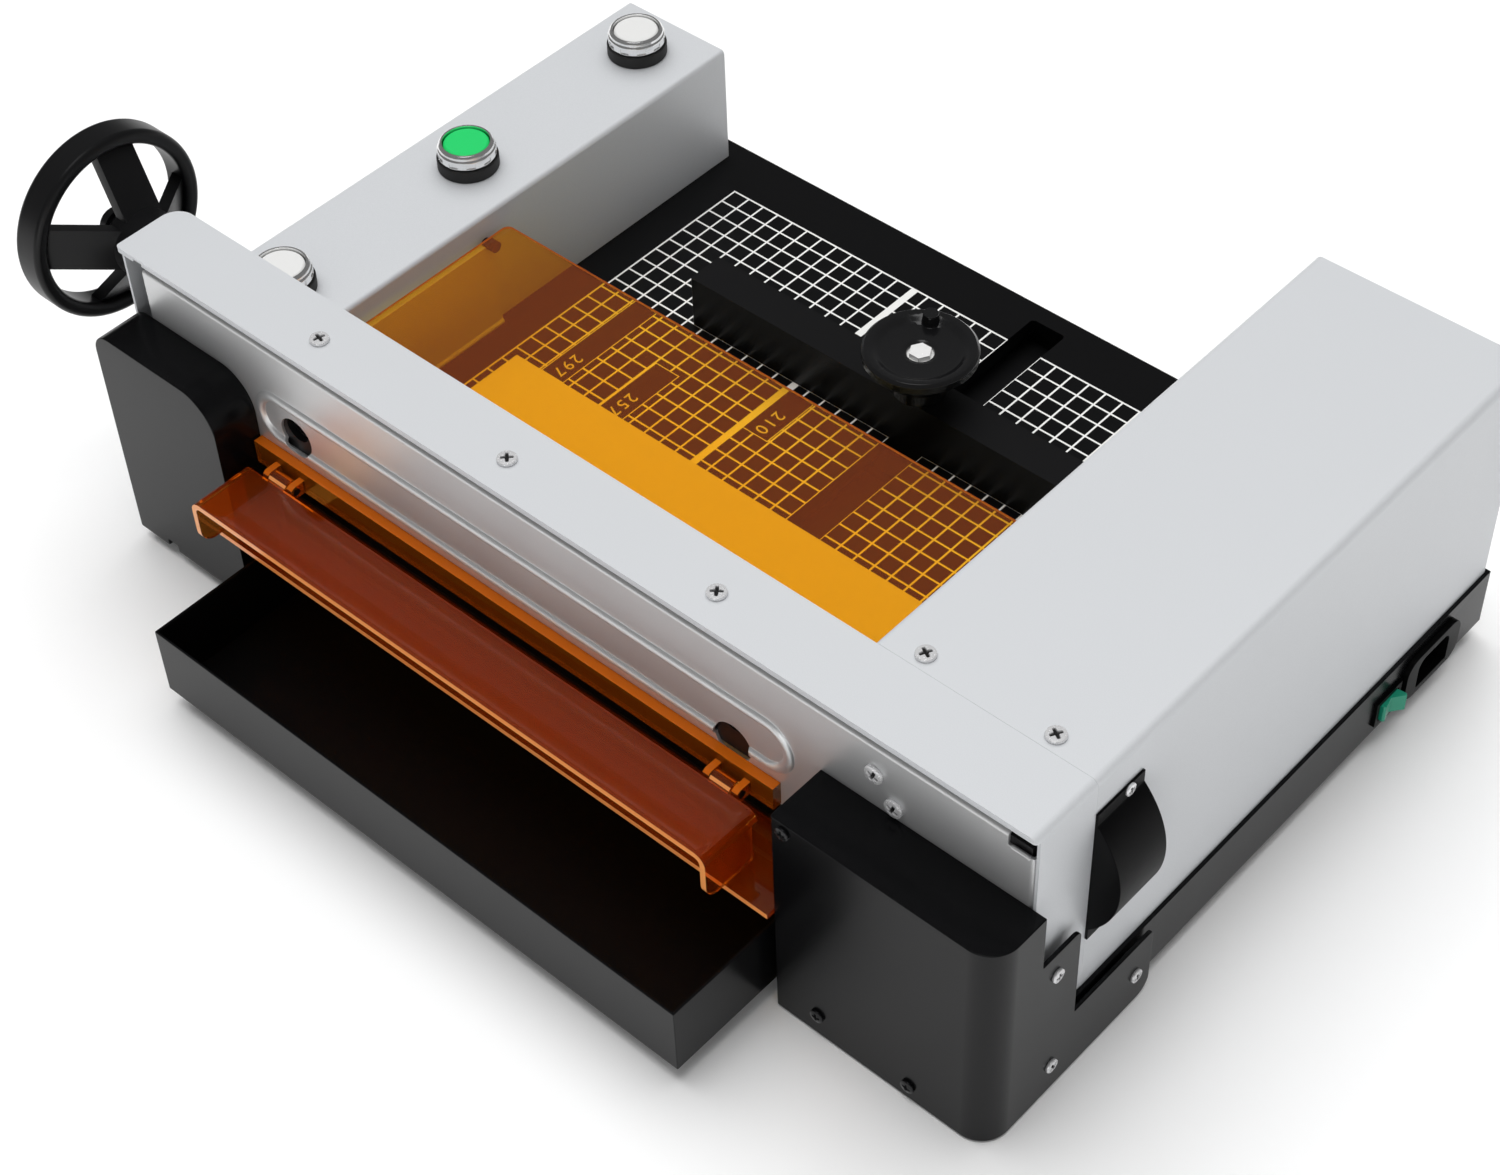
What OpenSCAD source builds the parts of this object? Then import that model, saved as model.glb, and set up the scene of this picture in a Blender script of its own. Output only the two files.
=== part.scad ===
// Electric paper cutter: a desktop guillotine with a motor-driven slanting knife, a clamp on
// two lead screws worked by a handwheel, a sliding back gauge, amber guards and a waste tray.
// The tray side is -Y, the feeding table is +Y, the motor housing is at +X. Millimetres, +Z up.

/* [Table] */
// Clear width of the table between the column and the motor housing
table_w = 342; // [300:1:420]
// Height of the table's surface above the ground
table_h = 67.5; // [62:0.5:85]
// Thickness of the table plate
table_t = 8; // [6:0.5:9]
// Distance from the knife plane to the table's far edge
table_back = 312.5; // [300:0.5:340]
// Width of the gauge slot
slot_w = 20; // [16:1:24]
// Distance of the gauge slot's middle from the motor housing
slot_off = 130; // [110:1:160]
// Distance from the knife plane to the slot's near end
slot_near = 110; // [108:1:125]
// Distance from the knife plane to the slot's far end
slot_far = 302; // [296:1:306]
// Height of the cutting stick let into the table
stick_h = 5; // [4:0.5:5.5]
// Width of the cutting stick
stick_w = 8; // [7:0.5:10]

/* [Column] */
// Width of the control column
column_w = 67.5; // [62:0.5:80]
// Height of the column above the table
column_rise = 67.5; // [62:0.5:74]
// Distance from the knife plane to the column's far end
column_back = 302; // [290:1:310]

/* [Motor housing] */
// Width of the motor housing
house_w = 110; // [108:1:125]
// Distance from the knife plane to the housing's far end
house_back = 321; // [316:1:330]
// Radius of the long rounded edge at the housing's top
house_r = 4; // [3:0.5:8]
// How far the curved gear shield stands out of the housing
shield_d = 14.5; // [12:0.5:18]
// Height of the curved part of the shield
shield_h = 68; // [62:1:76]
// Length of the shield along the housing
shield_l = 30; // [26:1:34]

/* [Beam] */
// Height of the beam and the housing above the table
beam_rise = 104.5; // [102:0.5:112]
// Beam's front edge in front of the knife plane
beam_front = 23; // [22.5:0.5:26]
// Beam's back wall behind the knife plane
beam_back = 14.5; // [14.5:0.5:18]
// How far the beam reaches past the column's outer wall
beam_over = 11.5; // [8:0.5:16]
// Height of the folded lip along the beam's front
lip_h = 3; // [2:0.5:5]
// Thickness of the sheet-metal covers
sheet_t = 1.5; // [1:0.1:1.6]
// Width of the gap below the beam's back wall, above the table
throat_h = 62; // [61.5:0.5:64]

/* [Knife] */
// Slant of the knife's travel from the vertical, in degrees
knife_angle = 25; // [20:1:27]
// Length of the knife's slanting stroke
knife_stroke = 47; // [40:0.5:47]
// Height of the cutting edge above the table when the knife is up
edge_rise = 43; // [42.8:0.1:44]
// Length of the blade
blade_l = 360; // [352:1:366]
// Width of the blade
blade_w = 52; // [48:1:54]
// Thickness of the blade
blade_t = 4; // [3:0.5:4.5]
// Thickness of the knife carrier
carrier_t = 10.5; // [9:0.5:11]
// Radius of the guide rollers
roller_r = 4; // [3.5:0.25:4.25]

/* [Drive] */
// Module of the rack and the pinion
tooth_m = 2; // [1.75:0.25:2.25]
// Teeth of the pinion
pinion_n = 18; // [16:1:19]
// Radius of the gearbox
gearbox_r = 46; // [44:0.5:47]
// Length of the gearbox
gearbox_l = 50; // [40:1:60]
// Radius of the motor
motor_r = 36; // [30:1:42]
// Length of the motor
motor_l = 120; // [90:1:140]
// Radius of the output shaft
output_r = 7; // [6:0.5:8]

/* [Clamp] */
// Gap between the presser plate and the table in the rest position
clamp_gap = 8.5; // [8.5:0.5:9.5]
// Thickness of the presser plate
plate_t = 8; // [6:0.5:9]
// Width of the presser plate
plate_w = 262; // [220:1:300]
// Distance from the knife plane to the presser plate's far edge
plate_reach = 106.5; // [80:0.5:107]
// Thickness of the clamp bar
bar_t = 10; // [9.5:0.25:10]
// Height of the clamp bar
bar_h = 22; // [18:1:23]
// Radius of the lead screws
screw_r = 3.5; // [3:0.25:3.75]

/* [Handwheel] */
// Outer radius of the handwheel
wheel_r = 48.5; // [42:0.5:55]
// Width of the rim
rim_w = 17; // [12:0.5:20]
// Depth of the rim
rim_d = 7.5; // [7:0.5:10]
// Gap between the beam's end and the rim
wheel_gap = 39.5; // [34:0.5:50]
// Radius of the clamp shaft inside the beam
shaft_r = 3.5; // [3:0.25:3.75]
// Radius of the clamp shaft outside the beam
neck_r = 5; // [4.5:0.25:6]
// Depth of the clamp shaft below the beam's top
shaft_drop = 27.5; // [27:0.5:28.5]
// Pitch radius of the bevel gears
bevel_r = 5.9; // [5.5:0.1:6]

/* [Back gauge] */
// Length of the gauge bar
gauge_l = 262; // [220:1:268]
// Depth of the gauge bar
gauge_d = 20.5; // [18:0.5:26]
// Height of the gauge bar
gauge_h = 30; // [24:1:36]
// Distance from the knife plane to the gauge's face in the rest position
gauge_pos = 191.5; // [190:0.5:200]
// Radius of the lock knob
knob_r = 27.5; // [24:0.5:32]
// Height of the knob's top above the table
knob_rise = 56.5; // [50:0.5:60]
// Radius of the gauge's stud
stud_r = 4; // [3:0.5:5]

/* [Amber guards] */
// Height of the table guard's top above the table
guard_rise = 57.5; // [55:0.5:60]
// Thickness of the amber sheets
amber_t = 3; // [3:0.5:4]
// Distance from the knife plane to the table guard's far edge
guard_reach = 141; // [125:1:155]
// Height of the outlet hood's top above the table
hood_rise = 28; // [27:0.5:30]
// Distance from the knife plane to the hood's front edge
hood_reach = 67; // [62:0.5:72]
// Width of the outlet hood
hood_w = 317; // [290:1:320]
// Distance from the knife plane to the outlet slide's front edge
slide_reach = 55; // [50:0.5:58]

/* [Waste tray] */
// Width of the tray
tray_w = 324; // [290:1:326]
// Depth of the tray
tray_d = 158; // [130:1:165]
// Height of the tray
tray_h = 39; // [30:1:42]
// Wall of the tray
tray_t = 1.5; // [1:0.1:2]
// Distance from the knife plane to the tray's front
tray_out = 108; // [100:1:120]

/* [End covers] */
// Width of the left end cover
left_w = 81; // [76:1:82]
// Depth of the left end cover
left_d = 24.5; // [20:0.5:30]
// Height of the left end cover above the table
left_rise = 67; // [60:1:72]
// Depth of the right end cover
right_d = 31; // [26:0.5:36]
// Height of the right end cover above the table
right_rise = 60; // [54:1:66]
// Wall of the end covers
end_t = 2; // [1.5:0.1:2.5]

/* [Base] */
// Height of the rubber feet
foot_h = 8.5; // [6:0.5:12]
// Radius of the rubber feet
foot_r = 11; // [8:0.5:14]
// Height of the black band under the motor housing
band_h = 41.5; // [40:0.5:46]
// Wall of the base
base_t = 2; // [1.5:0.1:2.5]

/* [Buttons] */
// Radius of the button's bezel ring
ring_r = 14.5; // [14:0.5:16]
// Height of the bezel ring
ring_h = 8; // [7:0.5:10]
// Height of the rubber gasket under the ring
gasket_h = 6.5; // [5:0.5:8]
// Radius of the button cap
cap_r = 11.5; // [10:0.5:11.5]
// Travel of the buttons
button_travel = 2.5; // [1.5:0.25:3]
// Distance between the buttons
button_step = 120; // [105:1:120]

/* [Hidden] */
$fn = 64;
run_gap = 0.05;
free_gap = 0.3;
slip_gap = 1;

// Places along X, from the middle of the whole length
left_reach = column_w + beam_over + wheel_gap + rim_w;
right_reach = table_w + house_w + shield_d;
wall_l = (left_reach - right_reach) / 2;
wall_r = wall_l + table_w;
column_l = wall_l - column_w;
beam_l = column_l - beam_over;
house_x = wall_r + house_w;
base_x = house_x + base_t;
slot_x = wall_r - slot_off;
mid_x = (wall_l + wall_r) / 2;

// Places along Y, from the middle of the whole depth
knife_y = (tray_out - house_back - base_t) / 2;
beam_f = knife_y - beam_front;
beam_b = knife_y + beam_back;
house_b = knife_y + house_back;
base_b = house_b + base_t;
table_b = knife_y + table_back;
column_b = knife_y + column_back;
carrier_b = knife_y - blade_t;
carrier_f = carrier_b - carrier_t;
bridge_t = 3.5;
bridge_b = carrier_f - slip_gap;
bridge_f = bridge_b - bridge_t;
panel_f = bridge_f - sheet_t;
table_f = bridge_b - slip_gap / 2;
bar_f = knife_y + slip_gap;
bar_b = bar_f + bar_t;
bar_y = (bar_f + bar_b) / 2;

// Heights
top_z = table_h + beam_rise;
under_z = table_h - table_t;
floor_z = foot_h + sheet_t;
crown_h = 15;
crown_z = top_z - sheet_t - 2 * slip_gap - crown_h;
shaft_z = top_z - shaft_drop;
plate_z = table_h + clamp_gap;
bar_z = plate_z + plate_t;
edge_z = table_h + edge_rise;
carrier_z = edge_z + 3;
carrier_top = top_z - sheet_t - 2.5;
panel_seam = 6;
bead_round = 3.6;
bead_press = 1.6;
panel_top = top_z - lip_h - panel_seam;
bridge_top = panel_top - sheet_t - slip_gap;
guard_z = table_h + guard_rise - amber_t;
hood_z = table_h + hood_rise - amber_t;

// Frame uprights and the two lead screws outside the paper's width
upright_w = 26;
left_up_l = column_l + sheet_t;
left_up_r = left_up_l + upright_w;
front_room = 4;
house_tuck = 4;
stick_room = 24;
stick_l = left_up_r + stick_room;
stick_f = knife_y - blade_t / 2 - stick_w / 2;
right_up_l = wall_r + 42;
right_up_r = house_x - sheet_t - slip_gap;
left_screw_x = left_up_r + 14;
right_screw_x = right_up_l - 18;
bearing_t = 3.5;
bearing_z = shaft_z - bevel_r - bearing_t - 1.2;
bevel_n = 12;
bush_r = shaft_r + 2.5;
nut_wall = 1;
low_end = 14;

// Knife travel: down and towards the motor, with the rack on the carrier's motor end
pinion_r = tooth_m * pinion_n / 2;
pinion_x = house_x - gearbox_r + slip_gap * 2;
pinion_z = table_h + 46;
travel_x = knife_stroke * sin(knife_angle);
travel_z = knife_stroke * cos(knife_angle);
mesh_x = pinion_x - pinion_r * cos(knife_angle);
mesh_z = pinion_z - pinion_r * sin(knife_angle);
roller_z = carrier_z + roller_r + 2;
roller_xs = [wall_l + 14, wall_r - 24];
bolt_n = 5;
bolt_z = edge_z + 10;
bolt_xs = [for (i = [0 : bolt_n - 1]) wall_l + 30 + i * (table_w - 76) / (bolt_n - 1)];
bolt_r = 2.5;
bolt_head_r = 5;
bolt_head_h = 4.5;

// Guards, gauge, tray and buttons
guard_axis_y = beam_b + 5;
guard_axis_z = guard_z + amber_t / 2;
guard_pin_r = 2.5;
guard_pin_l = 10;
hood_axis_y = panel_f - 10.3;
hood_axis_z = hood_z + 1;
hood_pin_r = 2;
hood_l = wall_l + 5;
hood_r = hood_l + hood_w;
hood_front = knife_y - hood_reach;
rail_f = panel_f - 5;
gauge_f = knife_y + gauge_pos;
gauge_y = gauge_f + gauge_d / 2;
gauge_r = wall_r - 4;
slider_w = slot_w + 6;
slider_h = 7;
knob_z = table_h + knob_rise;
knob_h = 15;
tray_l = mid_x - tray_w / 2 + 7;
tray_z = floor_z + free_gap;
tray_f = knife_y - tray_out;
button_x = column_l + column_w / 2;
button_inset = 29;
button_y0 = column_b - button_inset;
button_ys = [for (i = [0 : 2]) button_y0 - i * button_step];
column_z = table_h + column_rise;
front_screws = [[9, table_h + 54.5], [25.5, foot_h + 5.5], [74.5, foot_h + 1.5]];
strap_screws = [[-11, table_h + 14], [-10.5, foot_h + 10], [47, foot_h + 11.5]];
strap_stand = 1.5;
strap_x = base_x + strap_stand + end_t;
ring_z = column_z + gasket_h;
cap_sink = 0.6;
shield_skin = 1.2;
cap_top = ring_z + ring_h - cap_sink;
barrel_r = cap_r + 0.5;
inlet_y = house_b - 47;
inlet_l = 44;
inlet_h = 25;
inlet_z = foot_h + 3 + inlet_h / 2;
switch_y = inlet_y - inlet_l / 2 - 12;
switch_l = 20;
switch_h = 15;
switch_z = inlet_z - 2;
rocker_sink = 2;
rocker_pin_r = 1.2;

module block(x0, x1, y0, y1, z0, z1) {
    translate([x0, y0, z0]) cube([x1 - x0, y1 - y0, z1 - z0]);
}

// Cylinders along the three axes, from one end to the other
module rod_x(x0, x1, y, z, r) {
    translate([x0, y, z]) rotate([0, 90, 0]) cylinder(h = x1 - x0, r = r);
}
module rod_y(x, y0, y1, z, r) {
    translate([x, y0, z]) rotate([-90, 0, 0]) cylinder(h = y1 - y0, r = r);
}
module rod_z(x, y, z0, z1, r) {
    translate([x, y, z0]) cylinder(h = z1 - z0, r = r);
}

// Extrudes an outline drawn in X and Z along Y, and one drawn in Y and Z along X
module along_y(y0, y1) {
    translate([0, y1, 0]) rotate([90, 0, 0]) linear_extrude(y1 - y0) children();
}
module along_x(x0, x1) {
    translate([x0, 0, 0]) rotate([90, 0, 90]) linear_extrude(x1 - x0) children();
}

// Rectangle between two corners with its own radius at each corner: bottom left, bottom right,
// top right and top left
module soft_rect(x0, x1, y0, y1, r) {
    difference() {
        translate([x0, y0]) square([x1 - x0, y1 - y0]);
        corner_cut(x0, y0, 1, 1, r[0]);
        corner_cut(x1, y0, -1, 1, r[1]);
        corner_cut(x1, y1, -1, -1, r[2]);
        corner_cut(x0, y1, 1, -1, r[3]);
    }
}
module corner_cut(x, y, sx, sy, r) {
    if (r > 0)
        translate([x, y]) difference() {
            translate([sx > 0 ? -slip_gap : -r, sy > 0 ? -slip_gap : -r]) square(r + slip_gap);
            translate([sx * r, sy * r]) circle(r);
        }
}

// Teeth: an involute gear outline, worked out on the unit of its module
function involute(rb, a) = [rb * (cos(a) + a * PI / 180 * sin(a)), rb * (sin(a) - a * PI / 180 * cos(a))];
function roll_to(rb, r) = r <= rb ? 0 : sqrt(pow(r / rb, 2) - 1) * 180 / PI;
function turn(p, a) = [p[0] * cos(a) - p[1] * sin(a), p[0] * sin(a) + p[1] * cos(a)];
function flank(rb, rp, ro, half, steps) =
    let (lead = roll_to(rb, rp), pitch_turn = lead - atan(lead * PI / 180))
    [for (i = [0 : steps]) turn(involute(rb, roll_to(rb, ro) * i / steps), -half - pitch_turn)];
function mirrored(points) = [for (i = [len(points) - 1 : -1 : 0]) [points[i][0], -points[i][1]]];
module gear_outline(m, n, slack) {
    press = 20;
    rp = m * n / 2;
    rb = rp * cos(press);
    ro = rp + m;
    half = 90 / n - slack / rp * 90 / PI;
    side = flank(rb, rp, ro, half, 4);
    union() {
        circle(rp - 1.25 * m);
        for (i = [0 : n - 1]) rotate(i * 360 / n)
            polygon(concat([[rp - 2 * m, side[0][1]]], side, mirrored(side), [[rp - 2 * m, -side[0][1]]]));
    }
}

module base_pan() {
    rib_l = tray_l - 5;
    rib_r = tray_l + tray_w + 3;
    front = panel_f;
    color([0.09, 0.09, 0.1]) difference() {
        union() {
            block(column_l, base_x, front, table_b - 0.5, foot_h, floor_z);
            block(wall_r, base_x, front, base_b, foot_h, floor_z);
            block(column_l, column_l + sheet_t, front, table_b - 0.5, foot_h, under_z);
            block(column_l, rib_r, table_b - 0.5 - base_t, table_b - 0.5, foot_h, under_z);
            block(rib_l, rib_l + base_t, front, table_b - 1, foot_h, under_z);
            block(rib_r, rib_r + base_t, front, base_b, foot_h, under_z);
            block(rib_r, base_x, base_b - base_t, base_b, foot_h, band_h);
            block(house_x, base_x, front, base_b, foot_h, band_h);
            block(column_l, rib_l + 1, front, front + sheet_t, foot_h, under_z);
            block(rib_r + 1, base_x, front, front + sheet_t, foot_h, band_h);
        }
        block(house_x - 1, base_x + 1, inlet_y - inlet_l / 2 + 7, inlet_y + inlet_l / 2 - 7,
            inlet_z - inlet_h / 2 + 2, inlet_z + inlet_h / 2 - 2);
        block(house_x - 1, base_x + 1, switch_y - switch_l / 2 + 1, switch_y + switch_l / 2 - 1,
            switch_z - switch_h / 2 + 1, switch_z + switch_h / 2 - 1);
        vent_n = 7;
        for (i = [0 : vent_n - 1])
            block(wall_r + 20 + i * 10, wall_r + 24 + i * 10, base_b - base_t - 1, base_b + 1,
                foot_h + 10, band_h - 7);
    }
}

module rubber_feet() {
    inset = 24;
    color([0.06, 0.06, 0.06]) for (x = [column_l + inset, base_x - inset])
        for (y = [panel_f + inset, table_b - inset])
            translate([x, y, 0]) cylinder(h = foot_h, r1 = foot_r - 1.5, r2 = foot_r);
}

module left_upright() {
    window = 7;
    color([0.32, 0.33, 0.35]) difference() {
        union() {
            block(left_up_l, left_up_r, bridge_b, bar_b, floor_z, crown_z);
            block(left_up_l, left_up_r + 8, bridge_b + 4, bar_b + 14, floor_z, floor_z + 10);
        }
        rod_x(left_up_l - 1, left_up_r + 1, bar_y, shaft_z, bush_r);
        block(left_up_l + window, left_up_r - window, bridge_b - 1, bar_b + 1, floor_z + 22, shaft_z - 26);
    }
}

module right_upright() {
    boss_w = 13;
    color([0.32, 0.33, 0.35]) difference() {
        union() {
            block(right_up_l, right_up_r, bar_f, bar_b, floor_z, crown_z);
            block(right_up_l, right_up_r, bar_f, bar_b + 10, floor_z, floor_z + 10);
            block(right_up_r - boss_w, right_up_r, bridge_b, bar_b, floor_z, crown_z);
            rod_x(right_up_l, right_up_l + 14, bar_y, shaft_z, bar_t / 2);
        }
        rod_y(pinion_x, bar_f - 1, bar_b + 1, pinion_z, output_r + 3);
        rod_x(right_up_l - 1, right_up_l + 12, bar_y, shaft_z, shaft_r + run_gap);
        rod_y((right_up_l + right_up_r) / 2, bar_f - 1, bar_b + 1, floor_z + 36, 13);
    }
}

module crown_bar() {
    color([0.36, 0.37, 0.39]) difference() {
        block(left_up_l, right_up_r, bar_f, bar_b, crown_z, crown_z + crown_h);
        for (x = [left_up_l + 13, right_up_r - 7])
            rod_z(x, bar_y, crown_z - 1, crown_z + crown_h + 1, 3.2);
    }
}

module bridge_plate() {
    low = table_h + 34;
    color([0.4, 0.41, 0.43]) difference() {
        block(left_up_l, right_up_r - 2 * slip_gap, bridge_f, bridge_b, low, bridge_top);
        for (x = roller_xs) rod_y(x, bridge_f - 1, bridge_b + 1, roller_z, roller_r);
        for (x = bolt_xs) rod_y(x, bridge_f - 1, bridge_b + 1, bolt_z, bolt_head_r + 2);
    }
}

module guide_rollers() {
    color([0.62, 0.63, 0.65]) for (x = roller_xs) {
        rod_y(x, bridge_f, carrier_b - 0.5, roller_z, roller_r);
        rod_y(x, bridge_b, carrier_f - free_gap, roller_z, roller_r + 1.5);
    }
}

module table_plate() {
    front_l = left_up_r + front_room;
    slot_corner = 2;
    color([0.07, 0.07, 0.08]) difference() {
        union() {
            block(column_l, wall_r + house_tuck, beam_b + free_gap, table_b, under_z, table_h);
            block(front_l, wall_r + house_tuck, table_f, beam_b + slip_gap, under_z, table_h);
        }
        translate([0, 0, under_z - 1]) linear_extrude(table_t + 2)
            soft_rect(slot_x - slot_w / 2, slot_x + slot_w / 2, knife_y + slot_near, knife_y + slot_far,
                [slot_corner, slot_corner, slot_corner, slot_corner]);
        block(stick_l, wall_r + house_tuck + 1, stick_f, stick_f + stick_w, table_h - stick_h, table_h + 1);
    }
}

module gauge_rail() {
    side = 3;
    inner = slider_w + 1;
    drop = slider_h + 1;
    color([0.55, 0.56, 0.58]) difference() {
        block(slot_x - inner / 2 - side, slot_x + inner / 2 + side, knife_y + slot_near - 4,
            knife_y + slot_far + 4, under_z - drop - side, under_z);
        block(slot_x - inner / 2, slot_x + inner / 2, knife_y + slot_near - 2, knife_y + slot_far + 2,
            under_z - drop, under_z + 1);
    }
}

module cutting_stick() {
    color([0.86, 0.82, 0.7]) block(stick_l, wall_r + house_tuck, stick_f, stick_f + stick_w,
        table_h - stick_h, table_h);
}

module column_cover() {
    fillet = 2.5;
    color([0.78, 0.79, 0.81]) difference() {
        along_y(beam_b, column_b)
            soft_rect(column_l, wall_l, table_h, column_z, [0, 0, fillet, fillet]);
        along_y(beam_b + sheet_t, column_b - sheet_t)
            soft_rect(column_l + sheet_t, wall_l - sheet_t, table_h - 1, column_z - sheet_t,
                [0, 0, fillet - sheet_t, fillet - sheet_t]);
        for (y = button_ys) rod_z(button_x, y, column_z - sheet_t - 1, column_z + 1, barrel_r);
    }
}

// Housing outline: the wall on the table side ends on the table, the outer wall goes down
// behind the base's band
house_step = 8;
module house_outline(inset, tuck) {
    inner_r = 3;
    difference() {
        soft_rect(wall_r + inset, house_x - inset, tuck, top_z - inset,
            [0, 0, house_r - inset, inner_r - inset]);
        translate([wall_r - 1, tuck - 1]) square([house_step + 1, table_h - tuck + 1]);
    }
}

module motor_cover() {
    tuck = band_h - 3;
    rim = 5;
    color([0.78, 0.79, 0.81]) difference() {
        along_y(beam_b, house_b) house_outline(0, tuck);
        along_y(beam_b - 1, house_b - sheet_t) union() {
            house_outline(sheet_t, tuck - 1);
            translate([wall_r + house_step - 1, tuck - 1])
                square([house_w - house_step + 1 - sheet_t, table_h - tuck + 2]);
        }
        block(house_x - sheet_t - 1, house_x + 1, beam_b - 1, beam_b + shield_l - rim,
            pinion_z - shield_h / 2 + rim, pinion_z + shield_h / 2 - rim);
    }
}

module beam_cover() {
    corner = 10;
    edge = 2;
    low = band_h + free_gap;
    end_z = table_h + 22;
    notch_x = beam_l + 12;
    notch_l = 6;
    notch_h = 1.5;
    lip_z = top_z - lip_h;
    color([0.8, 0.81, 0.83]) difference() {
        beam_block(0, low, edge, corner);
        beam_block(sheet_t, low - 2, 0, corner - sheet_t);
        block(beam_l - 1, house_x - sheet_t, beam_f - 1, beam_f + sheet_t + 1, 0, lip_z);
        block(house_x - sheet_t - 1, house_x + 1, beam_f - 1, panel_f, 0, lip_z);
        block(beam_l - 1, column_l + sheet_t, beam_f - 1, beam_b + 1, 0, end_z);
        block(beam_l + 4, wall_r, beam_b - sheet_t - 1, beam_b + 1, 0, table_h + throat_h);
        block(wall_r, house_x - sheet_t, beam_b - sheet_t - 1, beam_b + 1, 0, top_z - sheet_t);
        rod_x(beam_l - 1, beam_l + corner, bar_y, shaft_z, neck_r + 1);
        block(notch_x, notch_x + notch_l, beam_f - 1, beam_f + sheet_t + 1, lip_z - 1, lip_z + notch_h);
    }
}

// Beam's body with rounded upright edges and a rounded top edge at the motor end
module beam_block(inset, low, edge, corner) {
    difference() {
        translate([0, 0, low]) linear_extrude(top_z - inset - low)
            soft_rect(beam_l + inset, house_x - inset, beam_f + inset, beam_b - inset,
                [edge, edge, 0, corner]);
        along_y(beam_f - 1, beam_b + 1) corner_cut(house_x - inset, top_z - inset, -1, -1, house_r - inset);
    }
}

// Pressed front panel: its top edge folds back over the bridge plate, its motor end folds back
// to the upright, and the corner between the two folds stays open
module front_panel() {
    low = table_h + 20;
    bend_r = 2.5;
    hole_r = 10;
    hole_drops = [4, 13];
    hole_xs = [bolt_xs[0], bolt_xs[bolt_n - 1]];
    open_l = 13;
    open_z = panel_top - 7;
    curl_r = 1.1;
    curl_out = 0.9;
    left = left_up_l;
    right = right_up_r + slip_gap / 2;
    back = bridge_b - free_gap;
    color([0.74, 0.75, 0.77]) difference() {
        union() {
            along_x(left, right - open_l) difference() {
                soft_rect(panel_f, back, low, panel_top, [0, 0, 0, bend_r]);
                soft_rect(bridge_f, back + 1, low - 1, panel_top - sheet_t, [0, 0, 0, bend_r - sheet_t]);
            }
            translate([0, 0, low]) linear_extrude(open_z - low) difference() {
                soft_rect(right - open_l - 1, right, panel_f, back, [0, bend_r, 0, 0]);
                soft_rect(left, right - sheet_t, bridge_f, back + 1, [0, bend_r - sheet_t, 0, 0]);
            }
            rod_x(right - open_l + 2, right - bend_r, panel_f + curl_r - curl_out, open_z, curl_r);
            intersection() {
                panel_bead(bead_round);
                block(left, right, panel_f - bead_round, bridge_f, low, panel_top);
            }
        }
        panel_bead(bead_round - sheet_t);
        for (i = [0, 1])
            rod_y(hole_xs[i], panel_f - bead_round, bridge_f + 1, bolt_z - hole_drops[i], hole_r);
    }
}

// Rounded bead around the panel's field: two straight runs and a half ring at each end
module panel_bead(r) {
    bead_l = wall_l + 7;
    bead_r = wall_r - 15;
    ring = 12.5;
    mid_z = table_h + 53.5;
    bead_y = panel_f + bead_round - bead_press;
    for (s = [-1, 1]) {
        end_x = s > 0 ? bead_r - ring : bead_l + ring;
        rod_x(bead_l + ring, bead_r - ring, bead_y, mid_z + s * ring, r);
        intersection() {
            translate([end_x, bead_y, mid_z]) rotate([90, 0, 0]) rotate_extrude() translate([ring, 0]) circle(r);
            block(s > 0 ? end_x : end_x - ring - r, s > 0 ? end_x + ring + r : end_x, bead_y - r, bead_y + r,
                mid_z - ring - r, mid_z + ring + r);
        }
    }
}

module left_end_cover() {
    low = foot_h - 2;
    high = table_h + left_rise;
    left = beam_l - end_t;
    right = beam_l + left_w;
    back = panel_f;
    front = back - left_d;
    top_r = 20;
    side_r = 12;
    wing = 9;
    notch_x = column_l + 8;
    notch_l = 7;
    notch_h = 4;
    color([0.13, 0.13, 0.14]) difference() {
        union() {
            along_y(front, back) soft_rect(left, right, low, high, [1, 1, top_r, side_r]);
            block(left, beam_l, back - 1, back + wing, low + side_r, high - side_r);
        }
        along_y(front + end_t, back + 1)
            soft_rect(beam_l, right - end_t, low + end_t, high - end_t,
                [1, 1, top_r - end_t, side_r - end_t]);
        block(notch_x, notch_x + notch_l, front - 1, front + end_t + 1, low - 1, low + notch_h);
    }
}

// Box with an open back and floor; its side plate and strap stand off the base on bosses
module right_end_cover() {
    low = 1;
    high = table_h + right_rise;
    left = wall_r + 2;
    back = panel_f;
    front = back - right_d;
    corner = 14;
    tab_b = knife_y + 4;
    tab_z = table_h + 28;
    strap_b = knife_y + 58;
    strap_z = band_h - 1;
    boss_r = 5;
    color([0.1, 0.1, 0.11]) union() {
        difference() {
            translate([0, 0, low]) linear_extrude(high - low)
                soft_rect(left, strap_x, front, back, [1.5, corner, 0, 0]);
            translate([0, 0, low - 1]) linear_extrude(high - low + 1 - end_t)
                soft_rect(left + end_t, strap_x - end_t, front + end_t, back + 1, [0, corner - end_t, 0, 0]);
        }
        along_x(strap_x - end_t, strap_x) union() {
            soft_rect(back - 1, tab_b, low, tab_z, [0, 0, 4, 0]);
            soft_rect(tab_b - 1, strap_b, low, strap_z, [0, 8, 3, 0]);
        }
        for (d = strap_screws)
            rod_x(d[1] < band_h ? base_x : house_x, strap_x - end_t + 1, knife_y + d[0], d[1], boss_r);
    }
}

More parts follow.
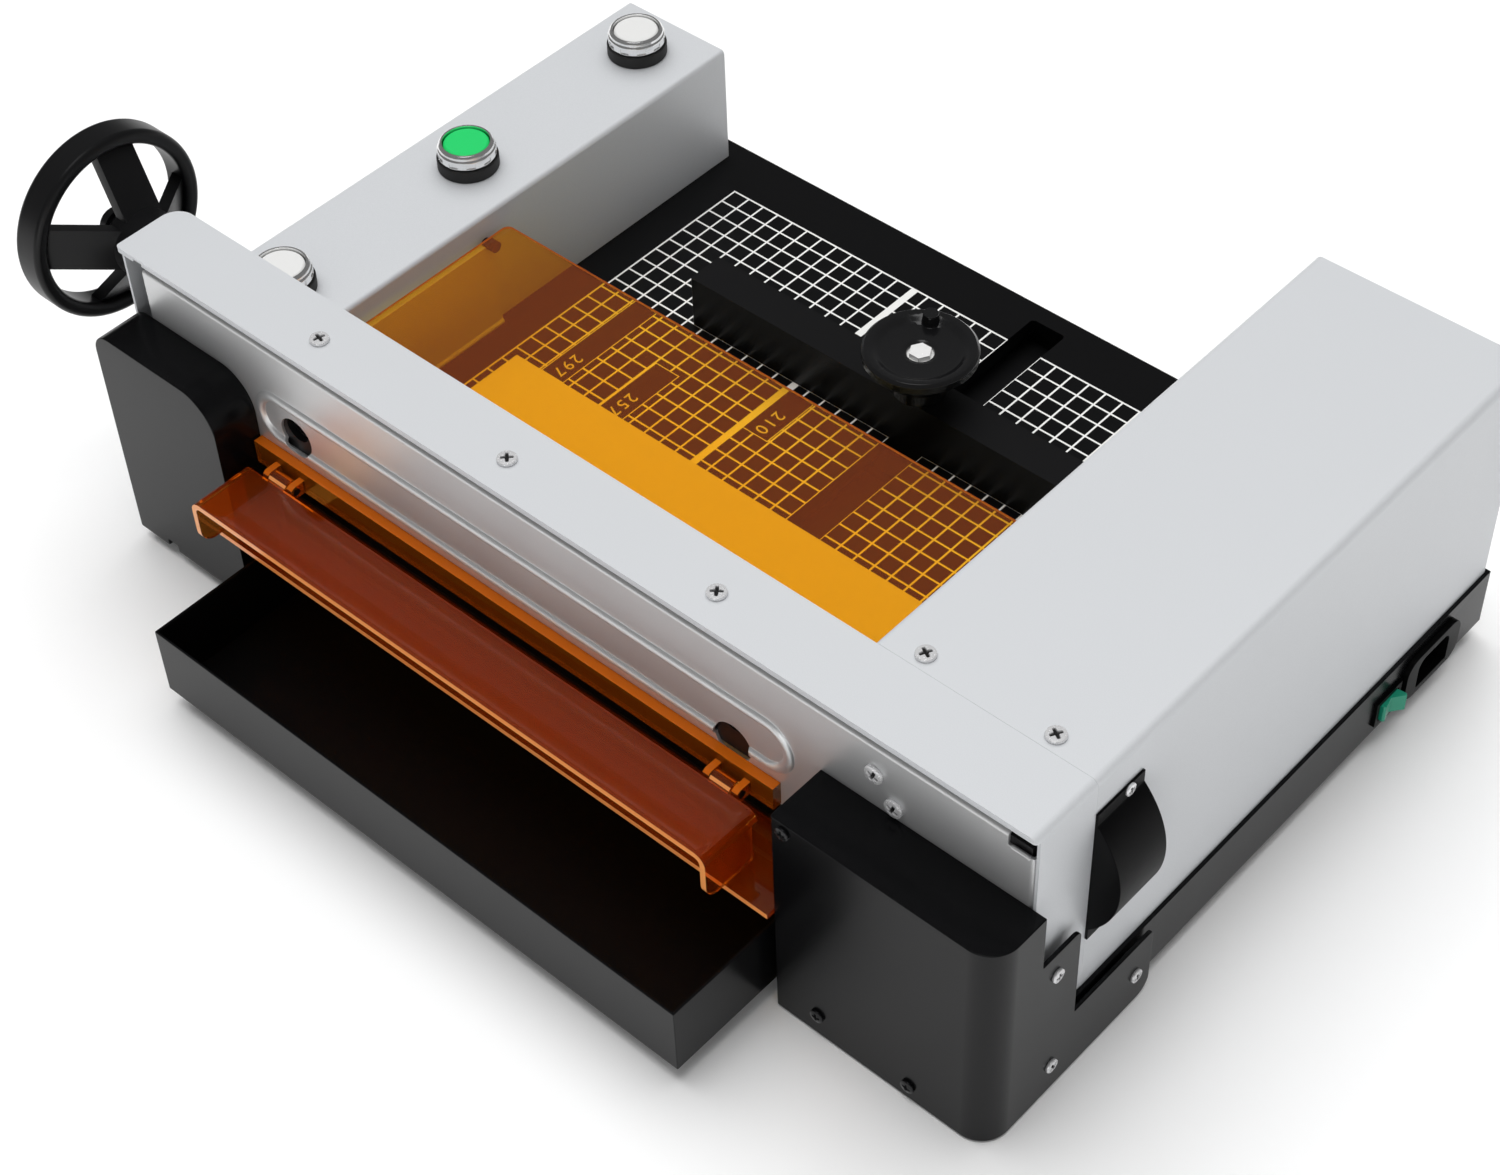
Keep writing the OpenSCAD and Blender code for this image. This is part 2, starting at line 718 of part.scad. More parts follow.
// Curved shield over the part of the gearbox that stands out of the housing's wall
module gear_shield() {
    flange = 7;
    arc_r = (pow(shield_h / 2, 2) + pow(shield_d, 2)) / (2 * shield_d);
    y0 = beam_b;
    y1 = beam_b + shield_l;
    color([0.08, 0.08, 0.09]) union() {
        difference() {
            intersection() {
                rod_y(house_x + shield_d - arc_r, y0, y1, pinion_z, arc_r);
                block(house_x, house_x + shield_d + 1, y0, y1, 0, top_z);
            }
            intersection() {
                rod_y(house_x + shield_d - arc_r, y0 + shield_skin, y1 - shield_skin, pinion_z,
                    arc_r - shield_skin);
                block(house_x - 1, house_x + shield_d + 1, y0, y1, 0, top_z);
            }
        }
        for (s = [-1, 1])
            translate([0, 0, pinion_z + s * (shield_h / 2 + flange / 2 - 1.5)])
                block(house_x, house_x + shield_skin, y0, y1, -flange / 2, flange / 2);
    }
}

module outlet_slide() {
    color([0.85, 0.36, 0.05, 0.6]) block(beam_l + left_w, wall_r + 2, knife_y - slide_reach, table_f,
        table_h - 4.5, table_h - 1.5);
}

// Fixed amber rail along the front panel with a pair of ears for each hinge pin
module hood_rail() {
    ear = 3.5;
    rail_low = 21;
    rail_h = 13;
    color([0.9, 0.42, 0.06, 0.7]) difference() {
        union() {
            block(hood_l - 2, hood_r, rail_f, panel_f, table_h + rail_low, table_h + rail_low + rail_h);
            for (x = hood_hinges())
                for (s = [-1, 1]) {
                    block(x + s * 8 - ear / 2, x + s * 8 + ear / 2, hood_axis_y, rail_f + 1,
                        hood_axis_z - ear, hood_axis_z + ear);
                    rod_x(x + s * 8 - ear / 2, x + s * 8 + ear / 2, hood_axis_y, hood_axis_z, ear);
                }
        }
        for (x = hood_hinges()) rod_x(x - 11, x + 11, hood_axis_y, hood_axis_z, hood_pin_r);
    }
}
function hood_hinges() = [hood_l + 22, hood_r - 22];

// Pins of the outlet hood, pivot pins of the table guard in the two walls, and the two
// bumpers the table guard rests on
module hinge_pins() {
    ear_end = 9.75;
    bumper_r = 3;
    bumper_l = 8;
    bumper_y = knife_y + guard_reach - 12;
    color([0.7, 0.71, 0.73]) {
        for (x = hood_hinges()) rod_x(x - ear_end, x + ear_end, hood_axis_y, hood_axis_z, hood_pin_r);
        rod_x(wall_l, wall_l + guard_pin_l, guard_axis_y, guard_axis_z, guard_pin_r);
        rod_x(wall_r - guard_pin_l, wall_r, guard_axis_y, guard_axis_z, guard_pin_r);
        for (x = [wall_l, wall_r - bumper_l])
            rod_x(x, x + bumper_l, bumper_y, guard_z - bumper_r - free_gap, bumper_r);
    }
}

module power_inlet() {
    flange_t = 3;
    deep = 18;
    x1 = base_x + flange_t;
    color([0.05, 0.05, 0.055]) union() {
        difference() {
            union() {
                along_x(base_x, x1) soft_rect(inlet_y - inlet_l / 2, inlet_y + inlet_l / 2,
                    inlet_z - inlet_h / 2, inlet_z + inlet_h / 2, [8, 8, 8, 8]);
                block(base_x - deep, base_x, inlet_y - inlet_l / 2 + 7.2, inlet_y + inlet_l / 2 - 7.2,
                    inlet_z - inlet_h / 2 + 2.2, inlet_z + inlet_h / 2 - 2.2);
            }
            along_x(base_x - deep + 2, x1 + 1) soft_rect(inlet_y - 12.5, inlet_y + 12.5,
                inlet_z - 8.5, inlet_z + 8.5, [1, 1, 5, 5]);
        }
        for (d = [[-7, -2], [7, -2], [0, 3]])
            block(base_x - deep + 1, x1 - 6, inlet_y + d[0] - 1, inlet_y + d[0] + 1,
                inlet_z + d[1] - 2.5, inlet_z + d[1] + 2.5);
    }
}

module switch_frame() {
    lip = 1.6;
    wall = 1.2;
    fit = 1.1;
    deep = 14;
    y0 = switch_y - switch_l / 2;
    y1 = switch_y + switch_l / 2;
    z0 = switch_z - switch_h / 2;
    z1 = switch_z + switch_h / 2;
    color([0.05, 0.05, 0.055]) difference() {
        union() {
            block(base_x, base_x + lip, y0, y1, z0, z1);
            block(base_x - deep, base_x, y0 + fit, y1 - fit, z0 + fit, z1 - fit);
        }
        block(base_x - deep + 2, base_x + lip + 1, y0 + fit + wall, y1 - fit - wall,
            z0 + fit + wall, z1 - fit - wall);
        rod_z(base_x - rocker_sink, switch_y, z0, z1, rocker_pin_r);
    }
}

module rocker() {
    half_l = switch_l / 2 - 3;
    half_h = switch_h / 2 - 2.6;
    pin_gap = 1.4;
    color([0.13, 0.55, 0.4]) union() {
        translate([0, 0, switch_z - half_h]) linear_extrude(half_h * 2)
            polygon([[base_x - 5, switch_y - half_l + 1.2], [base_x + 3, switch_y - half_l],
                [base_x + 4, switch_y - half_l + 1], [base_x + 2.4, switch_y],
                [base_x + 7, switch_y + half_l - 1], [base_x + 6, switch_y + half_l],
                [base_x - 5, switch_y + half_l - 1.2]]);
        rod_z(base_x - rocker_sink, switch_y, switch_z - switch_h / 2 + pin_gap,
            switch_z + switch_h / 2 - pin_gap, rocker_pin_r - run_gap);
    }
}

module button_rings() {
    notch_n = 10;
    notch_w = 4.5;
    notch_h = 2.6;
    notch_d = 0.7;
    notch_z = 1.2;
    color([0.85, 0.85, 0.86]) for (y = button_ys) translate([button_x, y, ring_z]) difference() {
        rotate_extrude() polygon([[cap_r + free_gap, 0], [ring_r - 1, 0], [ring_r, 1], [ring_r, ring_h - 3],
            [ring_r - 0.8, ring_h - 2.2], [ring_r - 0.8, ring_h - 1], [ring_r - 1.8, ring_h],
            [cap_r + free_gap, ring_h]]);
        for (i = [0 : notch_n - 1]) rotate(i * 360 / notch_n)
            block(ring_r - notch_d, ring_r + 1, -notch_w / 2, notch_w / 2, notch_z, notch_z + notch_h);
    }
}

module button_gaskets() {
    color([0.05, 0.05, 0.05]) for (y = button_ys) translate([button_x, y, column_z]) difference() {
        cylinder(h = gasket_h, r = ring_r + 0.8);
        translate([0, 0, -1]) cylinder(h = gasket_h + 2, r = barrel_r);
    }
}

module button_barrels() {
    deep = 30;
    nut_h = 5;
    pocket = 14;
    color([0.7, 0.7, 0.71]) for (y = button_ys) translate([button_x, y, 0]) difference() {
        union() {
            translate([0, 0, column_z - deep]) cylinder(h = deep + gasket_h, r = barrel_r);
            translate([0, 0, column_z - sheet_t - nut_h]) cylinder(h = nut_h, r = barrel_r + 4, $fn = 6);
        }
        translate([0, 0, column_z - pocket]) cylinder(h = pocket + gasket_h + 1, r = cap_r - 3 + free_gap);
    }
}

module button_cap(y) {
    stem_r = cap_r - 3;
    stem_low = 8;
    edge = 1;
    low = ring_z + button_travel + 1;
    translate([button_x, y, 0]) union() {
        rotate_extrude() polygon([[0, low], [cap_r, low], [cap_r, cap_top - edge], [cap_r - edge, cap_top],
            [0, cap_top]]);
        translate([0, 0, column_z - stem_low]) cylinder(h = low + 1 - column_z + stem_low, r = stem_r);
    }
}
module far_button() {
    color([0.93, 0.93, 0.92]) button_cap(button_ys[0]);
}
module start_button() {
    color([0.15, 0.75, 0.4]) button_cap(button_ys[1]);
}
module near_button() {
    color([0.93, 0.93, 0.92]) button_cap(button_ys[2]);
}

module gearbox() {
    y0 = bar_b;
    y1 = bar_b + 5;
    y2 = y1 + gearbox_l;
    rib_n = 6;
    color([0.5, 0.51, 0.53]) difference() {
        union() {
            rod_y(pinion_x, y0, y1 + 1, pinion_z, output_r + 14);
            rod_y(pinion_x, y1, y1 + 12, pinion_z, gearbox_r);
            rod_y(pinion_x, y1 + 12, y2 - 8, pinion_z, gearbox_r - 7);
            rod_y(pinion_x, y2 - 8, y2, pinion_z, gearbox_r - 5);
        }
        rod_y(pinion_x, y0 - 1, y0 + 20, pinion_z, output_r + run_gap);
        for (i = [0 : rib_n - 1]) translate([pinion_x, 0, pinion_z]) rotate([0, 30 + i * 60, 0])
            rod_y(gearbox_r - 1, y1 - 1, y2 + 1, 0, 4);
    }
}

module drive_motor() {
    y0 = bar_b + 5 + gearbox_l;
    bell = 14;
    slot_n = 8;
    color([0.16, 0.16, 0.17]) difference() {
        union() {
            rod_y(pinion_x, y0, y0 + bell, pinion_z, motor_r - 3);
            rod_y(pinion_x, y0 + bell, y0 + motor_l - bell, pinion_z, motor_r);
            rod_y(pinion_x, y0 + motor_l - bell, y0 + motor_l, pinion_z, motor_r - 3);
            rod_y(pinion_x, y0 + motor_l, y0 + motor_l + 8, pinion_z, 12);
        }
        for (i = [0 : slot_n - 1]) translate([pinion_x, 0, pinion_z]) rotate([0, i * 360 / slot_n, 0])
            block(motor_r - 14, motor_r - 7, y0 + motor_l - 8, y0 + motor_l + 1, -3, 3);
    }
}

module transformer() {
    x0 = wall_r + 22;
    back_gap = 78;
    y0 = house_b - back_gap;
    core_w = 62;
    core_d = 34;
    core_h = 52;
    coil = 9;
    color([0.35, 0.3, 0.24]) union() {
        block(x0, x0 + core_w, y0, y0 + core_d, floor_z + 2, floor_z + 2 + core_h);
        block(x0 + 12, x0 + core_w - 12, y0 - coil, y0 + core_d + coil, floor_z + 10, floor_z + core_h - 6);
        block(x0 - 9, x0 + core_w + 9, y0 + 8, y0 + core_d - 8, floor_z, floor_z + 2.5);
    }
}

module control_board() {
    x0 = column_l + 10;
    x1 = wall_l - 10;
    half_l = 45;
    y0 = button_ys[1] - half_l;
    y1 = button_ys[1] + half_l;
    stand = 6;
    board_t = 1.6;
    z0 = table_h + stand;
    color([0.12, 0.38, 0.2]) union() {
        block(x0, x1, y0, y1, z0, z0 + board_t);
        for (x = [x0 + 4, x1 - 4]) for (y = [y0 + 4, y1 - 4]) rod_z(x, y, table_h, z0 + 0.2, 2.5);
        block(x0 + 8, x0 + 24, y0 + 10, y0 + 36, z0 + board_t, z0 + board_t + 14);
        for (i = [0 : 2]) rod_z(x1 - 12, y0 + 20 + i * 16, z0 + board_t, z0 + board_t + 16, 5);
        block(x0 + 8, x0 + 30, y1 - 24, y1 - 10, z0 + board_t, z0 + board_t + 10);
    }
}

module shaft_bushes() {
    flange_t = 2;
    color([0.72, 0.55, 0.28]) difference() {
        union() {
            rod_x(left_up_l, left_up_r, bar_y, shaft_z, bush_r);
            rod_x(left_up_l - flange_t, left_up_l, bar_y, shaft_z, bush_r + 0.8);
        }
        rod_x(left_up_l - flange_t - 1, left_up_r + 1, bar_y, shaft_z, shaft_r + run_gap);
    }
}

// Bearing arms that hold each lead screw at its foot and just under its bevel gear
module screw_bearings() {
    arm = 9;
    foot_t = 5;
    color([0.45, 0.46, 0.48]) for (side = [[left_up_r, left_screw_x + arm, left_screw_x],
            [right_screw_x - arm, right_up_l, right_screw_x]])
        for (z = [[table_h, table_h + foot_t], [bearing_z, bearing_z + bearing_t]])
            difference() {
                block(side[0], side[1], bar_f, bar_b, z[0], z[1]);
                rod_z(side[2], bar_y, z[0] - 1, z[1] + 1, screw_r + run_gap);
            }
}

// Pan head with a cross recess, its seat on the origin and its top towards +Z
module screw_head(r, h) {
    arm = r * 0.55;
    wide = r * 0.14;
    deep = h * 0.55;
    difference() {
        rotate_extrude() polygon([[0, 0], [r, 0], [r, h * 0.45], [r * 0.78, h * 0.9], [r * 0.5, h], [0, h]]);
        for (a = [0, 90]) rotate(a) block(-arm, arm, -wide, wide, h - deep, h + 1);
    }
}
module cover_screws() {
    head_r = 4.5;
    head_h = 2;
    shield_r = 3;
    color([0.8, 0.8, 0.81]) {
        for (d = [41.5, 158.5, 277.5])
            translate([wall_l + d, knife_y - 6.5, top_z]) screw_head(head_r, head_h);
        for (d = [20, 84]) translate([wall_r + d, knife_y + 22, top_z]) screw_head(head_r, head_h);
        for (d = [[30, 79], [40, 66]])
            translate([wall_r + d[0], panel_f, table_h + d[1]]) rotate([90, 0, 0]) screw_head(head_r, head_h);
        translate([house_x + shield_skin, beam_b + 20, pinion_z + shield_h / 2 + 3])
            rotate([0, 90, 0]) screw_head(shield_r, head_h);
    }
}

module end_cover_screws() {
    head_r = 3.4;
    head_h = 1.8;
    front = panel_f - right_d;
    color([0.3, 0.3, 0.32]) {
        for (d = front_screws)
            translate([wall_r + d[0], front, d[1]]) rotate([90, 0, 0]) screw_head(head_r, head_h);
        for (d = strap_screws)
            translate([strap_x, knife_y + d[0], d[1]]) rotate([0, 90, 0]) screw_head(head_r, head_h);
    }
}

module clamp_bar() {
    x0 = left_up_r + 2;
    x1 = right_up_l - 6;
    color([0.66, 0.67, 0.69]) difference() {
        union() {
            block(x0, x1, bar_f, bar_b, bar_z, bar_z + low_end);
            block(wall_l - 8, wall_r + 8, bar_f, bar_b, bar_z, bar_z + bar_h);
        }
        for (x = [left_screw_x, right_screw_x])
            rod_z(x, bar_y, bar_z - 1, bar_z + low_end + 1, screw_r + nut_wall);
    }
}

module presser_plate() {
    nose = 3;
    y1 = knife_y + plate_reach;
    color([0.86, 0.87, 0.86]) along_x(mid_x - plate_w / 2, mid_x + plate_w / 2)
        polygon([[bar_f, plate_z], [y1 - nose, plate_z], [y1, plate_z + nose], [y1, plate_z + plate_t],
            [bar_f, plate_z + plate_t]]);
}

module clamp_nuts() {
    color([0.75, 0.58, 0.3]) for (x = [left_screw_x, right_screw_x]) difference() {
        rod_z(x, bar_y, bar_z, bar_z + low_end, screw_r + nut_wall);
        rod_z(x, bar_y, bar_z - 1, bar_z + low_end + 1, screw_r + run_gap);
    }
}

// Bevel gear with its pitch cone's tip at the origin, opening along -Z, and its hub below
module bevel_gear(bore, hub_h, start) {
    face = 2;
    color([0.6, 0.61, 0.63]) difference() {
        union() {
            translate([0, 0, -bevel_r]) rotate(start) linear_extrude(face, scale = (bevel_r - face) / bevel_r)
                bevel_outline();
            translate([0, 0, -bevel_r - hub_h]) cylinder(h = hub_h, r = bevel_r * 0.8);
        }
        translate([0, 0, -bevel_r - hub_h - 1]) cylinder(h = hub_h + face + 2, r = bore);
    }
}
module bevel_outline() {
    step = 360 / bevel_n;
    tip = bevel_r + 0.65 * 2 * bevel_r / bevel_n;
    root = bevel_r - 0.85 * 2 * bevel_r / bevel_n;
    foot = root - 0.3;
    union() {
        circle(root, $fn = bevel_n * 2);
        for (i = [0 : bevel_n - 1]) rotate(i * step) polygon([
            turn([foot, 0], -step / 4), turn([tip, 0], -step / 10),
            turn([tip, 0], step / 10), turn([foot, 0], step / 4)]);
    }
}

module shaft_gears() {
    for (x = [left_screw_x, right_screw_x])
        translate([x, bar_y, shaft_z]) rotate([0, 90, 0]) bevel_gear(shaft_r, 3, 0);
}
module screw_gear(x) {
    translate([x, bar_y, shaft_z]) bevel_gear(screw_r, 0.9, 180 / bevel_n);
}
module left_screw_gear() {
    screw_gear(left_screw_x);
}
module right_screw_gear() {
    screw_gear(right_screw_x);
}

module lead_screw(x) {
    color([0.68, 0.69, 0.71]) rod_z(x, bar_y, table_h + 0.5, shaft_z - bevel_r + 1.6, screw_r);
}
module left_lead_screw() {
    lead_screw(left_screw_x);
}
module right_lead_screw() {
    lead_screw(right_screw_x);
}

module clamp_shaft() {
    color([0.66, 0.67, 0.69]) union() {
        rod_x(beam_l - wheel_gap - 2, right_up_l + 10, bar_y, shaft_z, shaft_r);
        rod_x(beam_l - wheel_gap - 2, left_up_l - 3, bar_y, shaft_z, neck_r);
    }
}

// Dished handwheel: a round-edged rim, four broad spokes and a hub towards the beam
module handwheel() {
    spoke_n = 4;
    first_turn = -12;
    round_r = 3;
    hub_r = 17;
    hub_l = 24;
    hub_sink = 2;
    spoke_root = 9;
    x0 = beam_l - wheel_gap - rim_w;
    hub_x = x0 + rim_w - hub_sink;
    mid_r = wheel_r - rim_d / 2;
    spoke_w = 21;
    spoke_t = 7;
    dish = atan((rim_w / 2 - hub_sink + spoke_root) / mid_r);
    color([0.07, 0.07, 0.075]) difference() {
        union() {
            translate([x0, bar_y, shaft_z]) rotate([0, 90, 0]) rotate_extrude($fn = 96)
                soft_rect(wheel_r - rim_d, wheel_r, 0, rim_w, [round_r, round_r, round_r, round_r]);
            rod_x(hub_x, hub_x + hub_l, bar_y, shaft_z, hub_r);
            for (i = [0 : spoke_n - 1]) translate([hub_x + spoke_root, bar_y, shaft_z])
                rotate([first_turn + i * 360 / spoke_n, 0, 0]) rotate([0, -dish, 0])
                    translate([-spoke_t / 2, -spoke_w / 2, 0]) cube([spoke_t, spoke_w, mid_r / cos(dish)]);
        }
        rod_x(hub_x - 12, hub_x + hub_l + 1, bar_y, shaft_z, neck_r);
        rod_x(hub_x - 12, hub_x, bar_y, shaft_z, neck_r + 3);
    }
}

module wheel_screw() {
    hub_x = beam_l - wheel_gap - 2;
    color([0.3, 0.3, 0.32]) rod_x(hub_x - 4, hub_x, bar_y, shaft_z, neck_r + 2.5);
}

// Rack outline along local X, its pitch line on Y = 0 and a tooth gap at the origin
function rack_tooth(x, half, lean) = [[x - half - lean * 1.25, -1.25 * tooth_m],
    [x - half + lean * 0.9, 0.9 * tooth_m], [x + half - lean * 0.9, 0.9 * tooth_m],
    [x + half + lean * 1.25, -1.25 * tooth_m]];
module rack_outline(up, down, thick, slack) {
    pitch = PI * tooth_m;
    lean = tan(20) * tooth_m;
    half = pitch / 4 - slack / 2;
    first = -floor(up / pitch);
    last = floor(down / pitch) - 1;
    teeth = [for (i = [first : last]) rack_tooth((i + 0.5) * pitch, half, lean)];
    polygon(concat([[-up, -thick], [down, -thick], [down, -1.25 * tooth_m]],
        [for (i = [len(teeth) - 1 : -1 : 0]) for (k = [3 : -1 : 0]) teeth[i][k]], [[-up, -1.25 * tooth_m]]));
}

module knife_carrier() {
    overhang = 18;
    left = wall_l - overhang;
    rack_back = 12;
    rack_top = knife_stroke + 9;
    rack_low = 9;
    slack = 0.35;
    head_clear = 0.2;
    color([0.5, 0.51, 0.53]) difference() {
        along_y(carrier_f, carrier_b) union() {
            translate([left, carrier_z]) square([mesh_x - rack_back - 12 - left, carrier_top - carrier_z]);
            translate([mesh_x, mesh_z]) rotate(-90 + knife_angle)
                rack_outline(rack_top, rack_low, rack_back, slack);
        }
        for (x = roller_xs) guide_slot(x);
        for (x = bolt_xs) {
            rod_y(x, carrier_f - 1, carrier_f + bolt_head_h + 1, bolt_z, bolt_head_r + head_clear);
            rod_y(x, carrier_f, carrier_b + 1, bolt_z, bolt_r);
        }
    }
}
module guide_slot(x) {
    r = roller_r + run_gap;
    sunk = 0.005;
    for (end = [0, 1]) rod_y(x - end * travel_x, carrier_f - 1, carrier_b + 1, roller_z + end * travel_z, r);
    translate([x, carrier_f - 1, roller_z]) rotate([0, -knife_angle, 0])
        translate([sunk - r, 0, 0]) cube([2 * (r - sunk), carrier_t + 2, knife_stroke]);
}

module blade() {
    left = wall_l - 12;
    bevel = 9;
    color([0.8, 0.81, 0.83]) difference() {
        along_x(left, left + blade_l)
            polygon([[knife_y, edge_z], [knife_y, edge_z + blade_w], [carrier_b, edge_z + blade_w],
                [carrier_b, edge_z + bevel]]);
        for (x = bolt_xs) rod_y(x, carrier_b - 1, knife_y - 1, bolt_z, bolt_r);
    }
}

module blade_bolts() {
    color([0.25, 0.25, 0.26]) for (x = bolt_xs) difference() {
        union() {
            rod_y(x, carrier_f + 1, carrier_f + 1 + bolt_head_h, bolt_z, bolt_head_r);
            rod_y(x, carrier_f + 1, knife_y - 1, bolt_z, bolt_r);
        }
        translate([x, carrier_f, bolt_z]) rotate([-90, 0, 0]) cylinder(h = 3.5, r = 2.6, $fn = 6);
    }
}

module drive_pinion() {
    slack = 0.35;
    color([0.58, 0.59, 0.61]) difference() {
        translate([pinion_x, carrier_b, pinion_z]) rotate([90, 0, 0]) linear_extrude(carrier_t)
            rotate(180 + knife_angle) gear_outline(tooth_m, pinion_n, slack);
        rod_y(pinion_x, carrier_f - 1, carrier_b + 1, pinion_z, output_r);
    }
}

module output_shaft() {
    collar = 3;
    color([0.66, 0.67, 0.69]) union() {
        rod_y(pinion_x, carrier_f, bar_b + 18, pinion_z, output_r);
        rod_y(pinion_x, carrier_b, bar_f - free_gap, pinion_z, output_r + collar);
    }
}

module gauge_bar() {
    x0 = gauge_r - gauge_l;
    color([0.05, 0.05, 0.055]) difference() {
        translate([0, 0, table_h + free_gap]) linear_extrude(gauge_h - free_gap)
            soft_rect(x0, gauge_r, gauge_f, gauge_f + gauge_d, [0.8, 0.8, 0.8, 0.8]);
        rod_z(slot_x, gauge_y, table_h - 1, table_h + gauge_h + 1, stud_r);
    }
}

// T-shaped slider in the rail below the table, with the stud that carries the knob
module gauge_slider() {
    half_l = 24;
    color([0.6, 0.61, 0.63]) union() {
        block(slot_x - slider_w / 2, slot_x + slider_w / 2, gauge_y - half_l, gauge_y + half_l,
            under_z - slider_h, under_z - free_gap);
        block(slot_x - slot_w / 2 + free_gap, slot_x + slot_w / 2 - free_gap, gauge_y - gauge_d / 2,
            gauge_y + gauge_d / 2, under_z - 1, table_h + free_gap);
        rod_z(slot_x, gauge_y, under_z, knob_z - 7, stud_r);
    }
}

// Round dished knob with a neck on the gauge, a finger peg and a pocket for its metal insert
module lock_knob() {
    low = table_h + gauge_h + free_gap;
    dish = 3;
    neck = 13;
    bore = stud_r + run_gap;
    rim_t = 5;
    under = 9;
    peg_r = 4.5;
    peg_h = 8;
    peg_sink = 5;
    color([0.06, 0.06, 0.065]) difference() {
        union() {
            translate([slot_x, gauge_y, 0]) rotate_extrude($fn = 96) polygon([[bore, low], [neck, low],
                [neck, knob_z - knob_h], [knob_r - under, knob_z - knob_h], [knob_r, knob_z - rim_t],
                [knob_r, knob_z - 1.5],
                [knob_r - 1.5, knob_z], [knob_r - 4, knob_z], [knob_r - 9, knob_z - dish], [9, knob_z - dish],
                [7, knob_z - dish - 0.8], [bore, knob_z - dish - 0.8]]);
            translate([slot_x + peg_dx(), gauge_y + peg_dy(), knob_z - peg_sink])
                cylinder(h = peg_h, r1 = peg_r, r2 = peg_r - 0.8);
        }
        translate([slot_x, gauge_y, knob_z - 10]) cylinder(h = 10, r = 6.5);
    }
}
function peg_dx() = -9;
function peg_dy() = 18.5;

module knob_insert() {
    color([0.85, 0.85, 0.84]) translate([slot_x, gauge_y, knob_z - 10]) union() {
        difference() {
            cylinder(h = 5, r = 6.5);
            translate([0, 0, -1]) cylinder(h = 4.2, r = stud_r + run_gap);
        }
        translate([0, 0, 5]) cylinder(h = 2.5, r = 5.6, $fn = 6);
    }
}

module table_guard() {
    side_gap = 4;
    knuckle_r = 4.5;
    knuckle_l = guard_pin_l + 4;
    x0 = wall_l + side_gap;
    x1 = wall_r - side_gap;
    color([0.85, 0.4, 0.06, 0.55]) difference() {
        union() {
            translate([0, 0, guard_z]) linear_extrude(amber_t)
                soft_rect(x0, x1, guard_axis_y, knife_y + guard_reach, [0, 0, 4, 4]);
            for (x = [x0, x1 - knuckle_l]) rod_x(x, x + knuckle_l, guard_axis_y, guard_axis_z, knuckle_r);
        }
        rod_x(wall_l, wall_l + guard_pin_l + 0.5, guard_axis_y, guard_axis_z, guard_pin_r + run_gap);
        rod_x(wall_r - guard_pin_l - 0.5, wall_r, guard_axis_y, guard_axis_z, guard_pin_r + run_gap);
    }
}

// Bent amber hood: a top sheet with a cheek at each end, hung on two knuckles at the back
module outlet_hood() {
    cheek_low = table_h + 1;
    bend_r = 6;
    back = hood_axis_y - 4.2;
    cheek_b = hood_axis_y - 8;
    knuckle = 5.5;
    slot_skin = 0.2;
    top = hood_z + amber_t;
    color([0.85, 0.36, 0.05, 0.6]) difference() {
        union() {
            intersection() {
                difference() {
                    along_y(hood_front, back)
                        soft_rect(hood_l, hood_r, cheek_low, top, [0, 0, bend_r, bend_r]);
                    along_y(hood_front - 1, back + 1)
                        soft_rect(hood_l + amber_t, hood_r - amber_t, cheek_low - 1, hood_z,
                            [0, 0, bend_r - amber_t, bend_r - amber_t]);
                    block(hood_l - 1, hood_r + 1, cheek_b, back + 1, cheek_low - 1, hood_z - 2);
                }
                along_x(hood_l, hood_r) soft_rect(hood_front, back, cheek_low, top, [8, 0, 0, 0]);
            }
            for (x = hood_hinges()) {
                rod_x(x - knuckle, x + knuckle, hood_axis_y, hood_axis_z, hood_pin_r + 1.8);
                block(x - knuckle, x + knuckle, back - 1, hood_axis_y, hood_z + slot_skin, top - slot_skin);
            }
        }
        for (x = hood_hinges()) rod_x(x - 11, x + 11, hood_axis_y, hood_axis_z, hood_pin_r + run_gap);
    }
}

module waste_tray() {
    color([0.08, 0.08, 0.085]) difference() {
        block(tray_l, tray_l + tray_w, tray_f, tray_f + tray_d, tray_z, tray_z + tray_h);
        block(tray_l + tray_t, tray_l + tray_w - tray_t, tray_f + tray_t, tray_f + tray_d - tray_t,
            tray_z + tray_t, tray_z + tray_h + 1);
    }
}

base_pan();
rubber_feet();
left_upright();
right_upright();
crown_bar();
bridge_plate();
guide_rollers();
table_plate();
gauge_rail();
cutting_stick();
column_cover();
motor_cover();
beam_cover();
front_panel();
left_end_cover();
right_end_cover();
gear_shield();
outlet_slide();
hood_rail();
hinge_pins();
power_inlet();
switch_frame();
button_rings();
button_gaskets();
button_barrels();
drive_motor();
gearbox();
transformer();
control_board();
shaft_bushes();
screw_bearings();
cover_screws();
end_cover_screws();
clamp_bar();
presser_plate();
clamp_nuts();
handwheel();
clamp_shaft();
shaft_gears();
wheel_screw();
left_lead_screw();
left_screw_gear();
right_lead_screw();
right_screw_gear();
knife_carrier();
blade();
blade_bolts();
drive_pinion();
output_shaft();
gauge_bar();
gauge_slider();
lock_knob();
knob_insert();
table_guard();
outlet_hood();
waste_tray();
far_button();
start_button();
near_button();
rocker();
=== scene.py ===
import math

import bmesh
import bpy
from mathutils import Matrix, Vector


